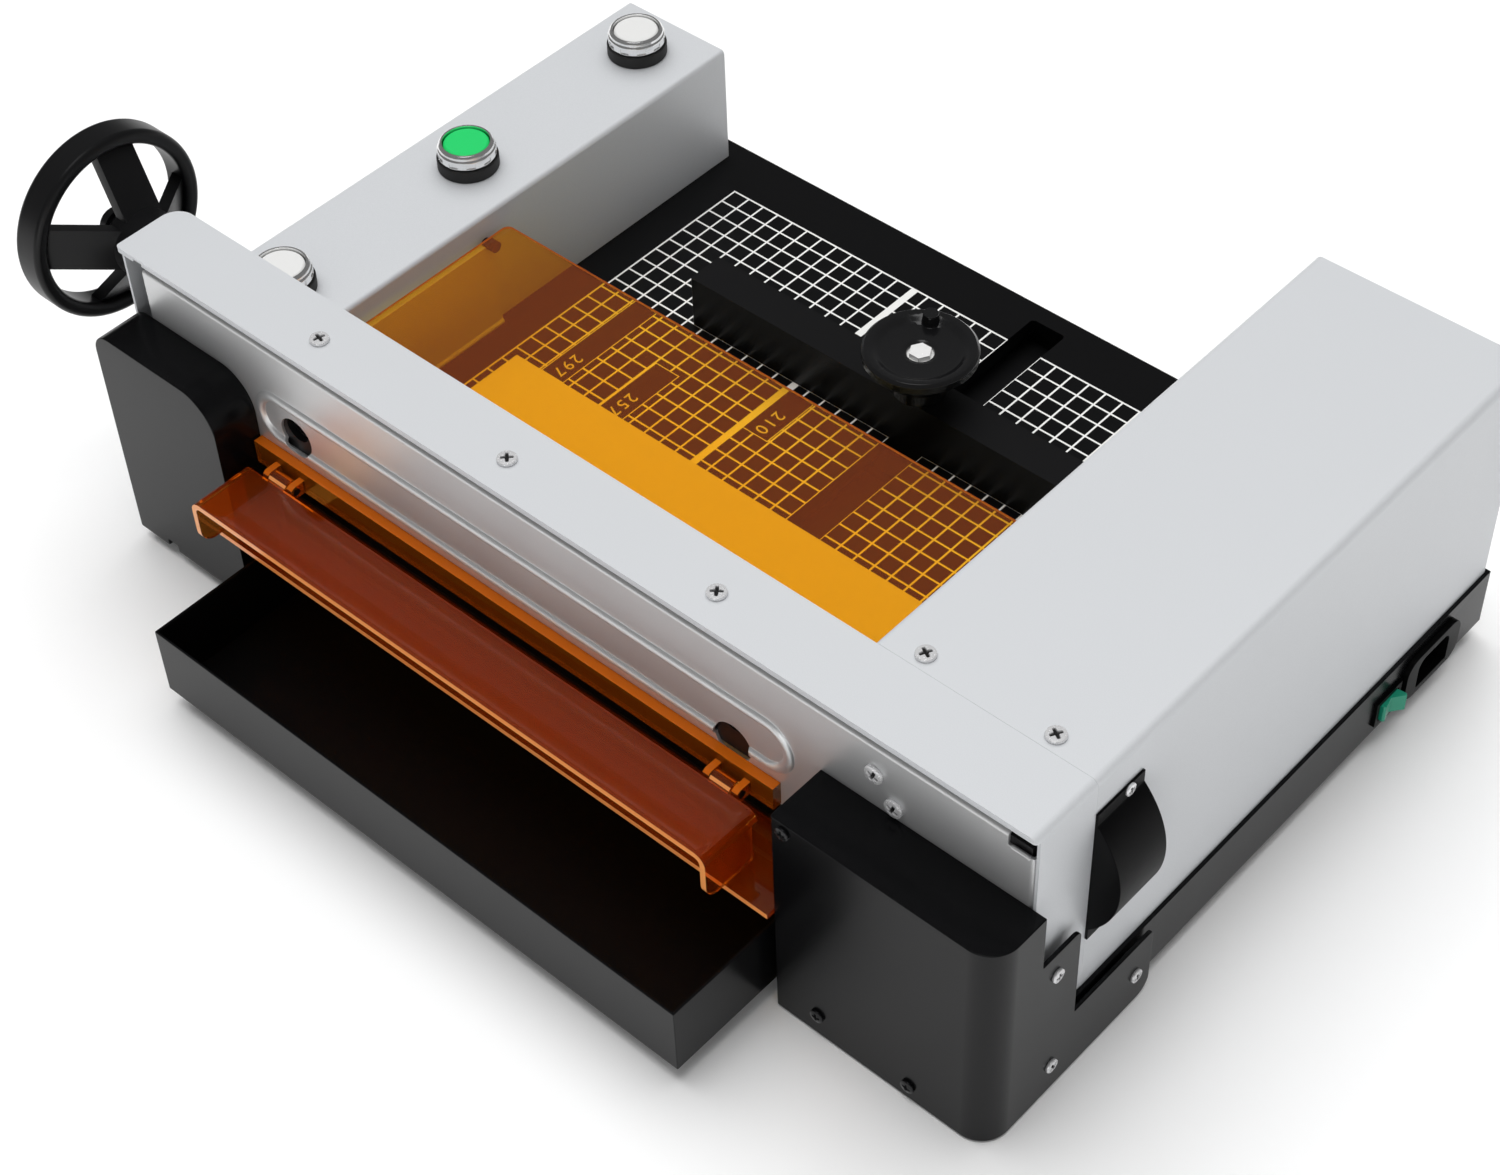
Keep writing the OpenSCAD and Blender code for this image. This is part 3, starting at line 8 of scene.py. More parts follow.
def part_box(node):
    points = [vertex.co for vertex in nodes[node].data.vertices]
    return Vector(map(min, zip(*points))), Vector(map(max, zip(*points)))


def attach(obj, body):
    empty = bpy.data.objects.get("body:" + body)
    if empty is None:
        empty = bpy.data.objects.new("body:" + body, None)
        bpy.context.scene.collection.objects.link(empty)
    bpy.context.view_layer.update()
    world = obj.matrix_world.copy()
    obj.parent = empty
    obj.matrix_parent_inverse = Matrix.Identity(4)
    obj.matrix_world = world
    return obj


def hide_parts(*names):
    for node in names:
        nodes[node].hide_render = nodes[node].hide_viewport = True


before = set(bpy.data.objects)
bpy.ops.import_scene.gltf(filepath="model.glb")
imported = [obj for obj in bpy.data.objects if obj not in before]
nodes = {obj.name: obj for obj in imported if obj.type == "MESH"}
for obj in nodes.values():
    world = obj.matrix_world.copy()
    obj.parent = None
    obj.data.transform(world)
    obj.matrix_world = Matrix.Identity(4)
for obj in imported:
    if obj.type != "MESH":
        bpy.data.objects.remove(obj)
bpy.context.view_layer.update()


# The view: a studio camera on the tray side, above the motor end, a little tilted.
# Its lens takes in the whole machine with narrow margins.
camera_at = Vector((0.6594, -0.6689, 0.9976))
camera_azimuth = math.radians(43.627)
camera_elevation = math.radians(46.555)
camera_tilt = math.radians(2.413)
photo_width = 1500
focal_pixels = 2841.8

forward = Vector((
    -math.sin(camera_azimuth) * math.cos(camera_elevation),
    math.cos(camera_azimuth) * math.cos(camera_elevation),
    -math.sin(camera_elevation),
))
level_right = Vector((math.cos(camera_azimuth), math.sin(camera_azimuth), 0))
level_up = level_right.cross(forward)
camera_right = level_right * math.cos(camera_tilt) - level_up * math.sin(camera_tilt)
camera_up = camera_right.cross(forward)
camera_turn = Matrix((camera_right, camera_up, -forward)).transposed()
camera_data = bpy.data.cameras.new("studio_camera")
camera_data.sensor_width = 36
camera_data.lens = focal_pixels * camera_data.sensor_width / photo_width
camera_data.clip_start = 0.05
camera = bpy.data.objects.new("studio_camera", camera_data)
camera.matrix_world = Matrix.Translation(camera_at) @ camera_turn.to_4x4()
bpy.context.scene.collection.objects.link(camera)
bpy.context.scene.camera = camera
bpy.context.scene.view_settings.view_transform = "Standard"


# The studio: a wide floor of white paper in a white room, a very soft light from overhead, a
# smaller key light, and two weak low lamps at the motor side and the tray side. Shader
# values are written as arithmetic on sockets.
class Value:
    """A socket of a node tree. Arithmetic on it adds Math nodes to the tree."""

    def __init__(self, tree, socket):
        self.tree = tree
        self.socket = socket

    @staticmethod
    def make(tree, kind, settings=None, inputs=None, out=0):
        """Adds a node, applies its settings, fills or links its sockets, and wraps one output."""
        node = tree.nodes.new(kind)
        for name, setting in (settings or {}).items():
            setattr(node, name, setting)
        for name, given in (inputs or {}).items():
            target = node.inputs[name]
            if isinstance(given, Value):
                tree.links.new(given.socket, target)
            else:
                target.default_value = given
        return Value(tree, node.outputs[out]) if node.outputs else None

    def output(self, name):
        """Another output of the same node."""
        return Value(self.tree, self.socket.node.outputs[name])

    def math(self, operation, *others):
        """Adds a Math node on this value and others."""
        inputs = {0: self}
        for place, other in enumerate(others, 1):
            inputs[place] = other
        return Value.make(self.tree, "ShaderNodeMath", {"operation": operation}, inputs)

    def __add__(self, other):
        return self.math("ADD", other)

    __radd__ = __add__

    def __mul__(self, other):
        return self.math("MULTIPLY", other)

    __rmul__ = __mul__

    def __sub__(self, other):
        return self.math("SUBTRACT", other)

    def __rsub__(self, other):
        return self * -1 + other

    def __lt__(self, other):
        return self.math("LESS_THAN", other)

    def __gt__(self, other):
        return self.math("GREATER_THAN", other)

    def __or__(self, other):
        return self.math("MAXIMUM", other)

    def within(self, low, high):
        """1 where the value lies between two others, 0 elsewhere."""
        return (self > low) * (self < high)

    def blend(self, first, second):
        """Colour that goes from first to second as this value goes from 0 to 1."""
        inputs = {0: self, 6: first, 7: second}
        for place in (6, 7):
            if not isinstance(inputs[place], Value):
                inputs[place] = (*inputs[place], 1)
        return Value.make(self.tree, "ShaderNodeMix", {"data_type": "RGBA"}, inputs, 2)


def new_finish(name, **constants):
    """A material with one Principled shader, its constant sockets set, and its object coordinates."""
    finish = bpy.data.materials.new(name)
    finish.use_nodes = True
    tree = finish.node_tree
    shader = tree.nodes["Principled BSDF"]
    for socket, constant in constants.items():
        target = shader.inputs[socket.replace("_", " ")]
        target.default_value = (*constant, 1) if isinstance(constant, tuple) else constant
    place = Value.make(tree, "ShaderNodeTexCoord", out="Object")
    return finish, tree, shader, place


def spread(tree, shader, **links):
    """Links varying values to the shader's sockets by name."""
    for socket, value in links.items():
        tree.links.new(value.socket, shader.inputs[socket.replace("_", " ")])


def noise(tree, place, size, detail=2):
    """Noise between 0 and 1, its patches about size millimetres across."""
    inputs = {"Vector": place, "Scale": 1000 / size, "Detail": detail}
    return Value.make(tree, "ShaderNodeTexNoise", None, inputs)


def grain(tree, place, size, depth):
    """Bump of fine grain, its size in millimetres and its depth in micrometres."""
    inputs = {"Height": noise(tree, place, size), "Distance": depth * 1e-6, "Strength": 1}
    return Value.make(tree, "ShaderNodeBump", None, inputs)


def cloud(tree, place, size, low, high):
    """A soft mottle between two values, its patches about size millimetres across."""
    return noise(tree, place, size) * (high - low) + low


floor_reach = 8
bpy.ops.mesh.primitive_plane_add(size=2 * floor_reach)
floor = bpy.context.object
floor.name = "studio_floor"
floor_paper = new_finish("floor_paper", Base_Color=(0.97, 0.97, 0.97), Roughness=0.9)[0]
floor.data.materials.append(floor_paper)

room_light = 0.3
room_shine = 0.16
world = bpy.data.worlds.new("white_room")
world.use_nodes = True
bpy.context.scene.world = world
tree = world.node_tree
room = tree.nodes["Background"]
room.inputs["Color"].default_value = (1, 1, 1, 1)
rays = Value.make(tree, "ShaderNodeLightPath")
straight = rays.output("Glossy Depth") < 0.5
seen = rays.output("Is Camera Ray") | rays.output("Is Transmission Ray") * straight
dim = rays.output("Is Diffuse Ray") * (room_light - room_shine) + room_shine
tree.links.new((seen | dim).socket, room.inputs["Strength"])

for name, energy, softness, travel, mirrored in (
        ("overhead_light", 2.42, 70, Vector((0.26, -0.24, -0.94)), False),
        ("key_light", 0.4, 26, Vector((0.05, 0.1, -1)), True)):
    sun_data = bpy.data.lights.new(name, "SUN")
    sun_data.energy = energy
    sun_data.angle = math.radians(softness)
    sun = bpy.data.objects.new(name, sun_data)
    sun.rotation_euler = travel.to_track_quat("-Z", "Y").to_euler()
    sun.visible_glossy = mirrored
    sun.visible_transmission = mirrored
    bpy.context.scene.collection.objects.link(sun)

lamp_width = 1.2
for name, lamp_at, watts in (("motor_side_lamp", Vector((2.0, -0.5, 0.5)), 2.0),
                             ("tray_side_lamp", Vector((0.9, -2.0, 0.26)), 8)):
    lamp_data = bpy.data.lights.new(name, "AREA")
    lamp_data.size = lamp_width
    lamp_data.energy = watts
    lamp = bpy.data.objects.new(name, lamp_data)
    lamp.matrix_world = Matrix.Translation(lamp_at) @ (-lamp_at).to_track_quat("-Z", "Y").to_matrix().to_4x4()
    bpy.context.scene.collection.objects.link(lamp)


# The base pan: folded black sheet with a powder coat, open to the tray at the front, with
# the back edge of the housing standing in it. Four rubber feet are riveted under it.
weld = 2e-6
coplanar = math.radians(0.4)
crease = math.radians(32)


def dressed(node, body, finish, edge=0.4, steps=2):
    """A copy of a CAD node with rounded edges, edge in millimetres, that stands for the node."""
    mesh = nodes[node].data.copy()
    mesh.materials.clear()
    mesh.materials.append(finish)
    shape = bmesh.new()
    shape.from_mesh(mesh)
    bmesh.ops.remove_doubles(shape, verts=shape.verts, dist=weld)
    bmesh.ops.dissolve_limit(shape, angle_limit=coplanar, verts=shape.verts, edges=shape.edges)
    for face in shape.faces:
        face.material_index = 0
    shape.to_mesh(mesh)
    shape.free()
    piece = bpy.data.objects.new(node + "_piece", mesh)
    bpy.context.scene.collection.objects.link(piece)
    bevel = piece.modifiers.new("rounded_edges", "BEVEL")
    bevel.width = edge / 1000
    bevel.segments = steps
    bevel.limit_method = "ANGLE"
    bevel.angle_limit = crease
    bevel.miter_outer = "MITER_ARC"
    settle(piece)
    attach(piece, body)
    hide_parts(node)
    return piece


def bake(piece):
    """Turns a piece's modifiers into plain mesh."""
    bpy.context.view_layer.update()
    view = piece.evaluated_get(bpy.context.evaluated_depsgraph_get())
    mesh = bpy.data.meshes.new_from_object(view)
    piece.modifiers.clear()
    piece.data = mesh
    return mesh


def settle(piece):
    """Bakes a piece and smooths its gentle edges, with normals that keep its broad faces flat."""
    mesh = bake(piece)
    shape = bmesh.new()
    shape.from_mesh(mesh)
    bmesh.ops.triangulate(shape, faces=[face for face in shape.faces if len(face.verts) > 4])
    for face in shape.faces:
        face.smooth = True
    for line in shape.edges:
        line.smooth = len(line.link_faces) == 2 and line.calc_face_angle(0) < crease
    shape.to_mesh(mesh)
    shape.free()
    weighted = piece.modifiers.new("flat_faces", "WEIGHTED_NORMAL")
    weighted.mode = "FACE_AREA"
    weighted.weight = 100
    weighted.keep_sharp = True
    bake(piece)


black_coat, tree, shader, place = new_finish("black_powder_coat", Base_Color=(0.003, 0.003, 0.0034), IOR=1.25)
spread(tree, shader, Roughness=cloud(tree, place, 30, 0.2, 0.27), Normal=grain(tree, place, 0.7, 7))
dressed("base_pan", "machine", black_coat, 0.5)

rubber, tree, shader, place = new_finish("black_rubber", Base_Color=(0.01, 0.01, 0.01))
spread(tree, shader, Roughness=cloud(tree, place, 8, 0.55, 0.75), Normal=grain(tree, place, 1.2, 30))
dressed("rubber_feet", "machine", rubber, 0.8)


# The inner frame: cast uprights, a crown bar and a bridge plate that carries the knife's
# guide rollers, with the clamp's shaft, gears and lead screws. Machined iron, ground steel
# and bronze bushes, bolted together and hidden by the covers.
def repaint(finish, *names):
    """Gives CAD nodes a finish of real detail in place of their plain one."""
    for name in names:
        nodes[name].data.materials.clear()
        nodes[name].data.materials.append(finish)


cast_iron, tree, shader, place = new_finish("machined_casting", Base_Color=(0.11, 0.115, 0.12), Metallic=0.6)
spread(tree, shader, Roughness=cloud(tree, place, 6, 0.45, 0.65), Normal=grain(tree, place, 1.5, 60))
repaint(cast_iron, "left_upright", "right_upright", "screw_bearings")

ground_steel, tree, shader, place = new_finish("ground_steel", Base_Color=(0.42, 0.43, 0.45), Metallic=1.0)
strokes = Value.make(tree, "ShaderNodeMapping", None, {"Vector": place, "Scale": (40, 900, 900)})
spread(tree, shader, Roughness=cloud(tree, strokes, 1000, 0.22, 0.4), Normal=grain(tree, place, 0.5, 4))
repaint(ground_steel, "crown_bar", "guide_rollers", "clamp_bar", "clamp_shaft",
        "shaft_gears", "left_lead_screw", "left_screw_gear", "right_lead_screw", "right_screw_gear",
        "knife_carrier", "drive_pinion", "output_shaft")

bronze, tree, shader, place = new_finish("turned_bronze", Base_Color=(0.52, 0.3, 0.1), Metallic=1.0)
spread(tree, shader, Roughness=cloud(tree, place, 3, 0.25, 0.4))
repaint(bronze, "shaft_bushes", "clamp_nuts")


# The drive: a blackened motor on a die-cast gearbox, a taped transformer and the lacquered
# control board, all screwed down under the housing and the column.
die_cast, tree, shader, place = new_finish("die_cast_aluminium", Base_Color=(0.5, 0.51, 0.52), Metallic=0.9)
spread(tree, shader, Roughness=cloud(tree, place, 5, 0.35, 0.5), Normal=grain(tree, place, 0.8, 12))
repaint(die_cast, "gearbox", "button_barrels")

dark_steel, tree, shader, place = new_finish("blackened_steel", Base_Color=(0.02, 0.02, 0.021), Metallic=0.7)
spread(tree, shader, Roughness=cloud(tree, place, 3, 0.3, 0.45))
repaint(dark_steel, "bridge_plate", "hinge_pins", "drive_motor", "wheel_screw", "blade_bolts",
        "gauge_rail", "gauge_slider")

winding, tree, shader, place = new_finish("taped_winding", Roughness=0.5)
laminations = Value.make(tree, "ShaderNodeTexWave", {"bands_direction": "Y"}, {"Vector": place, "Scale": 300})
spread(tree, shader, Base_Color=laminations.blend((0.12, 0.08, 0.05), (0.28, 0.16, 0.07)))
repaint(winding, "transformer")

board_lacquer, tree, shader, place = new_finish("board_lacquer", Roughness=0.35)
track_pattern = {"Vector": place, "Scale": 160, "Mortar Size": 0.08}
tracks = Value.make(tree, "ShaderNodeTexBrick", None, track_pattern, "Fac")
spread(tree, shader, Base_Color=tracks.blend((0.015, 0.09, 0.035), (0.03, 0.16, 0.06)))
repaint(board_lacquer, "control_board")


# The table: a black-coated plate with a white printed grid of 10 mm squares, screwed down
# between the column and the housing. Three columns of the grid stay blank for the paper
# lengths, and a plastic cutting stick lies in its groove under the knife.
table_low, table_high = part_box("table_plate")
wall_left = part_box("column_cover")[1].x
wall_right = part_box("motor_cover")[0].x
plate_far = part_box("presser_plate")[1].y
grid_square = 0.01
grid_line = 0.0005
grid_left = wall_left + 0.022
grid_right = wall_right - 0.002
grid_far = table_high.y - 0.0305
grid_near = plate_far - 0.06
length_columns = (
    (wall_left + 0.0435, wall_left + 0.0575, plate_far + 0.012, plate_far + 0.08, "297"),
    (wall_left + 0.083, wall_left + 0.0975, plate_far + 0.009, plate_far + 0.051, "257"),
    (wall_left + 0.1455, wall_left + 0.1605, plate_far + 0.045, plate_far + 0.08, "210"),
)
stripe = (wall_left + 0.142, wall_left + 0.1455)
print_depth = 0.0002

table_print, tree, shader, place = new_finish("printed_table", IOR=1.3)
axes = Value.make(tree, "ShaderNodeSeparateXYZ", None, {0: place})
across = axes.output("X")
along = axes.output("Y")
ruled_x = (across - grid_left).math("PINGPONG", grid_square / 2) < grid_line
ruled_y = (grid_far - along).math("PINGPONG", grid_square / 2) < grid_line
printed = ruled_x | ruled_y
for left, right, near, far, number in length_columns:
    blank = across.within(left, right) * along.within(near, far)
    border_x = across.within(left - grid_line, right + grid_line)
    border_y = along.within(near - grid_line, far + grid_line)
    printed = (printed | border_x * border_y) * (1 - blank)
printed = printed | across.within(*stripe)
on_grid = across.within(grid_left - grid_line, grid_right) * along.within(grid_near, grid_far + grid_line)
printed = printed * on_grid * (axes.output("Z") > table_high.z - print_depth)
spread(tree, shader, Base_Color=printed.blend((0.003, 0.003, 0.0034), (0.78, 0.78, 0.76)),
       Roughness=cloud(tree, place, 25, 0.3, 0.4), Normal=grain(tree, place, 0.9, 6))
dressed("table_plate", "machine", table_print, 0.4)

white_ink, tree, shader, place = new_finish("white_ink", Roughness=0.5)
worn = noise(tree, place, 0.6, 3)
spread(tree, shader, Base_Color=worn.blend((0.6, 0.6, 0.58), (0.78, 0.78, 0.76)))
digit_height = 0.0095
digit_spacing = 1.25
digit_inset = 0.002
ink_depth = 2e-5
ink_lift = 3e-5
ink = bmesh.new()
for left, right, near, far, number in length_columns:
    digits = bpy.data.curves.new("digits_" + number, "FONT")
    digits.body = number
    digits.size = digit_height
    digits.space_character = digit_spacing
    digits.extrude = ink_depth
    digits.align_x = "RIGHT"
    digits.align_y = "CENTER"
    digits.resolution_u = 4
    writing = bpy.data.objects.new("digits_" + number, digits)
    bpy.context.scene.collection.objects.link(writing)
    bpy.context.view_layer.update()
    flat = bpy.data.meshes.new_from_object(writing.evaluated_get(bpy.context.evaluated_depsgraph_get()))
    digits_at = Vector(((left + right) / 2, near + digit_inset, table_high.z + ink_lift))
    flat.transform(Matrix.Translation(digits_at) @ Matrix.Rotation(math.radians(-90), 4, "Z"))
    ink.from_mesh(flat)
    bpy.data.objects.remove(writing)
    bpy.data.meshes.remove(flat)
ink_mesh = bpy.data.meshes.new("paper_lengths")
ink.to_mesh(ink_mesh)
ink.free()
ink_mesh.materials.append(white_ink)
ink_piece = bpy.data.objects.new("paper_lengths", ink_mesh)
bpy.context.scene.collection.objects.link(ink_piece)
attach(ink_piece, "machine")

stick_plastic, tree, shader, place = new_finish("stick_plastic", Base_Color=(0.7, 0.66, 0.5), Roughness=0.45)
spread(tree, shader, Normal=grain(tree, place, 1.0, 10))
repaint(stick_plastic, "cutting_stick")


# The silver covers: column, motor housing and beam, bent from thin sheet and powder-coated
# in satin silver, with small bends at their edges and screws from above. The front panel
# is pressed from the same sheet, with a coat that has more metal in it.
silver_coat, tree, shader, place = new_finish("silver_powder_coat", Metallic=0.12, IOR=1.5)
flake = noise(tree, place, 0.4, 1)
spread(tree, shader, Base_Color=flake.blend((0.575, 0.59, 0.61), (0.655, 0.67, 0.69)),
       Roughness=cloud(tree, place, 40, 0.36, 0.44), Normal=grain(tree, place, 1.1, 6))
for cover in ("column_cover", "motor_cover", "beam_cover"):
    dressed(cover, "machine", silver_coat, 0.5, 3)

panel_coat, tree, shader, place = new_finish("panel_powder_coat", Metallic=0.7, IOR=1.5)
flake = noise(tree, place, 0.4, 1)
spread(tree, shader, Base_Color=flake.blend((0.62, 0.625, 0.63), (0.7, 0.705, 0.71)),
       Roughness=cloud(tree, place, 40, 0.34, 0.42), Normal=grain(tree, place, 1.1, 6))
dressed("front_panel", "machine", panel_coat, 0.8, 3)


# The side guide: a thin strip of silver-coated sheet on the column's wall that squares the
# sheets. It stands on the table, where its foot is turned out a little.
guide_thick = 0.0035
guide_past_plate = 0.025
guide_clear = 0.001
guide_foot = 0.0012
guide_edge = 0.0003
guide_low = Vector((wall_left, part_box("column_cover")[0].y + guide_clear, table_high.z))
guide_high = Vector((wall_left + guide_thick, plate_far + guide_past_plate,
                     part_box("table_guard")[0].z - guide_clear))
shape = bmesh.new()
outline = [shape.verts.new((x, guide_low.y, z)) for x, z in (
    (guide_low.x, guide_low.z), (guide_high.x + guide_foot, guide_low.z),
    (guide_high.x + guide_foot, guide_low.z + guide_foot), (guide_high.x, guide_low.z + 2 * guide_foot),
    (guide_high.x, guide_high.z), (guide_low.x, guide_high.z))]
end = shape.faces.new(outline)
drawn = bmesh.ops.extrude_face_region(shape, geom=[end])["geom"]
bmesh.ops.translate(shape, vec=(0, guide_high.y - guide_low.y, 0),
                    verts=[part for part in drawn if isinstance(part, bmesh.types.BMVert)])
bmesh.ops.recalc_face_normals(shape, faces=shape.faces)
guide_mesh = bpy.data.meshes.new("side_guide")
shape.to_mesh(guide_mesh)
shape.free()
guide_mesh.materials.append(silver_coat)
guide_piece = bpy.data.objects.new("side_guide", guide_mesh)
bpy.context.scene.collection.objects.link(guide_piece)
bevel = guide_piece.modifiers.new("rounded_edges", "BEVEL")
bevel.width = guide_edge
bevel.segments = 2
settle(guide_piece)
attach(guide_piece, "machine")


# The black end covers and the curved gear shield: covers of pressed sheet with the base's
# powder coat, screwed to the uprights, and a shield moulded in black plastic, screwed to the
# housing.
for cover in ("left_end_cover", "right_end_cover"):
    dressed(cover, "machine", black_coat, 0.8, 3)

shield_plastic, tree, shader, place = new_finish(
    "shield_plastic", Base_Color=(0.002, 0.002, 0.0022), IOR=1.15)
spread(tree, shader, Roughness=cloud(tree, place, 12, 0.35, 0.45), Normal=grain(tree, place, 0.8, 8))
dressed("gear_shield", "machine", shield_plastic, 0.3)


# The push buttons: bright turned rings with notches on rubber gaskets, and moulded caps
# that sit a little below the rings' edges.
bright_ring, tree, shader, place = new_finish("bright_ring", Base_Color=(0.95, 0.95, 0.95), Metallic=1.0)
spread(tree, shader, Roughness=cloud(tree, place, 2, 0.16, 0.26))
dressed("button_rings", "machine", bright_ring, 0.25)
dressed("button_gaskets", "machine", rubber, 0.6)

white_cap, tree, shader, place = new_finish("white_cap", Base_Color=(0.73, 0.73, 0.72), Roughness=0.25)
spread(tree, shader, Normal=grain(tree, place, 2, 10))
dressed("far_button", "far_cap", white_cap, 0.5)
dressed("near_button", "near_cap", white_cap, 0.5)
green_cap, tree, shader, place = new_finish("green_cap", Base_Color=(0.012, 0.6, 0.14), Roughness=0.25)
spread(tree, shader, Normal=grain(tree, place, 2, 10))
dressed("start_button", "start_cap", green_cap, 0.5)


# The clamp's presser plate and the knife: a light painted plate under the clamp bar, and a
# ground blade bolted to its carrier.
plate_coat, tree, shader, place = new_finish("plate_coat", Base_Color=(0.72, 0.74, 0.7))
spread(tree, shader, Roughness=cloud(tree, place, 20, 0.36, 0.46), Normal=grain(tree, place, 1, 8))
dressed("presser_plate", "clamp", plate_coat, 0.6)

blade_steel, tree, shader, place = new_finish("blade_steel", Base_Color=(0.6, 0.61, 0.63), Metallic=1.0)
strokes = Value.make(tree, "ShaderNodeMapping", None, {"Vector": place, "Scale": (900, 900, 30)})
spread(tree, shader, Roughness=cloud(tree, strokes, 1000, 0.15, 0.3))
repaint(blade_steel, "blade")


# The handwheel, the back gauge and its knob: a satin black wheel whose hub and spokes are
# dished toward the beam, a black bar that slides on the table, and a glossy moulded knob
# with a pale insert.
smooth_black, tree, shader, place = new_finish("smooth_black", Base_Color=(0.006, 0.006, 0.0065), IOR=1.5)
spread(tree, shader, Roughness=cloud(tree, place, 20, 0.14, 0.2), Normal=grain(tree, place, 1.4, 4))
satin_black, tree, shader, place = new_finish("satin_black", Base_Color=(0.006, 0.006, 0.0065), IOR=1.3)
spread(tree, shader, Roughness=cloud(tree, place, 20, 0.3, 0.4), Normal=grain(tree, place, 1.4, 6))
wheel_piece = dressed("handwheel", "wheel", satin_black, 0.8)
wheel_low, wheel_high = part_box("handwheel")
wheel_axis = (wheel_low + wheel_high) / 2
hub_reach, rim_reach, dish = 0.017, 0.041, 0.012
for corner in wheel_piece.data.vertices:
    reach = math.hypot(corner.co.y - wheel_axis.y, corner.co.z - wheel_axis.z)
    corner.co.x += dish * min(1, max(0, (rim_reach - reach) / (rim_reach - hub_reach)))
dressed("gauge_bar", "gauge", satin_black, 0.5)
dressed("lock_knob", "knob", smooth_black, 0.6)
pale_insert, tree, shader, place = new_finish("pale_insert", Base_Color=(0.85, 0.85, 0.84), Metallic=0.2)
spread(tree, shader, Roughness=cloud(tree, place, 2, 0.2, 0.3))
dressed("knob_insert", "knob", pale_insert, 0.2)


# The amber guards: clear acrylic sheet, cut and bent, with polish on its cut edges. The sheet is
# tinted all through and a little milky; light on its way down is tinted and not bent. Its edge
# faces get an opaque orange finish, a painted glow in place of the light the sheet carries to them.
def new_amber(name, tint, milk, milk_tint, shade):
    """Amber acrylic: what is seen through it, its milky share and colour, and its shadow's colour."""
    finish, tree, shader, place = new_finish(name, Base_Color=tint, IOR=1.49, Transmission_Weight=1.0)
    spread(tree, shader, Roughness=cloud(tree, place, 60, 0.015, 0.035))
    mist = Value.make(tree, "ShaderNodeBsdfDiffuse", None, {"Color": (*milk_tint, 1)})
    glass = Value(tree, shader.outputs[0])
    body = Value.make(tree, "ShaderNodeMixShader", None, {0: milk, 1: glass, 2: mist})
    rays = Value.make(tree, "ShaderNodeLightPath", out="Is Shadow Ray")
    clear = Value.make(tree, "ShaderNodeBsdfTransparent", None, {"Color": (*shade, 1)})
    mixed = Value.make(tree, "ShaderNodeMixShader", None, {0: rays, 1: body, 2: clear})
    tree.links.new(mixed.socket, tree.nodes["Material Output"].inputs["Surface"])
    return finish


facing_share = 0.6


def paint_edge_glow(piece, finish, outward):
    """Gives the faces of a sheet that look a given way a second finish, the painted glow of its edge."""
    if finish.name not in piece.data.materials:
        piece.data.materials.append(finish)
    for face in piece.data.polygons:
        if face.normal.dot(outward) > facing_share:
            face.material_index = 1


guard_amber = new_amber("guard_amber", (0.96, 0.58, 0.02), 0.055, (0.95, 0.18, 0.05), (0.98, 0.9, 0.4))
hood_amber = new_amber("hood_amber", (0.92, 0.38, 0.05), 0.055, (0.95, 0.16, 0.01), (0.93, 0.72, 0.3))
# Painted glow: a sheet that is mostly milky orange, given to the rail's top faces so that they read as a
# bright orange line.
rail_glow_paint = new_amber("rail_glow_paint", (0.9, 0.34, 0.03), 0.6, (0.98, 0.21, 0.012), (0.93, 0.72, 0.3))
# Painted glow: the edge faces are an opaque light orange in place of the clear sheet, standing in for the
# light the acrylic carries to its edges.
painted_edge_glow, tree, shader, place = new_finish("edge_glow_paint", Roughness=0.2)
bands = noise(tree, place, 30)
spread(tree, shader, Base_Color=bands.blend((0.9, 0.3, 0.07), (0.95, 0.42, 0.14)))
guard_piece = dressed("table_guard", "guard", guard_amber, 0.3)
paint_edge_glow(guard_piece, painted_edge_glow, Vector((0, 1, 0)))
paint_edge_glow(guard_piece, painted_edge_glow, Vector((-1, 0, 0)))
hood_piece = dressed("outlet_hood", "hood", hood_amber, 0.3)
paint_edge_glow(hood_piece, painted_edge_glow, Vector((0, -1, 0)))
rail_piece = dressed("hood_rail", "machine", hood_amber, 0.4)
# Painted glow on the rail's top faces.
paint_edge_glow(rail_piece, rail_glow_paint, Vector((0, 0, 1)))
slide_piece = dressed("outlet_slide", "machine", hood_amber, 0.4)
paint_edge_glow(slide_piece, painted_edge_glow, Vector((0, -1, 0)))


# The waste tray: a thin-walled box folded from black sheet, with the base's powder coat. It
# stands loose in the base and slides out from under the table.
dressed("waste_tray", "tray", black_coat, 0.5)


# The mains inlet and the rocker switch: moulded black plastic with a green rocker. The inlet
# is screwed by its flange to the base's motor side, and the switch's frame snaps in beside it.
inlet_plastic, tree, shader, place = new_finish("inlet_plastic", Base_Color=(0.002, 0.002, 0.002), IOR=1.15)
spread(tree, shader, Roughness=cloud(tree, place, 10, 0.3, 0.42), Normal=grain(tree, place, 0.6, 8))
dressed("power_inlet", "machine", inlet_plastic, 0.3)
dressed("switch_frame", "machine", inlet_plastic, 0.2)
rocker_green, tree, shader, place = new_finish("rocker_green", Base_Color=(0.01, 0.28, 0.17), Roughness=0.3)
spread(tree, shader, Normal=grain(tree, place, 1, 6))
dressed("rocker", "rocker_body", rocker_green, 0.3)
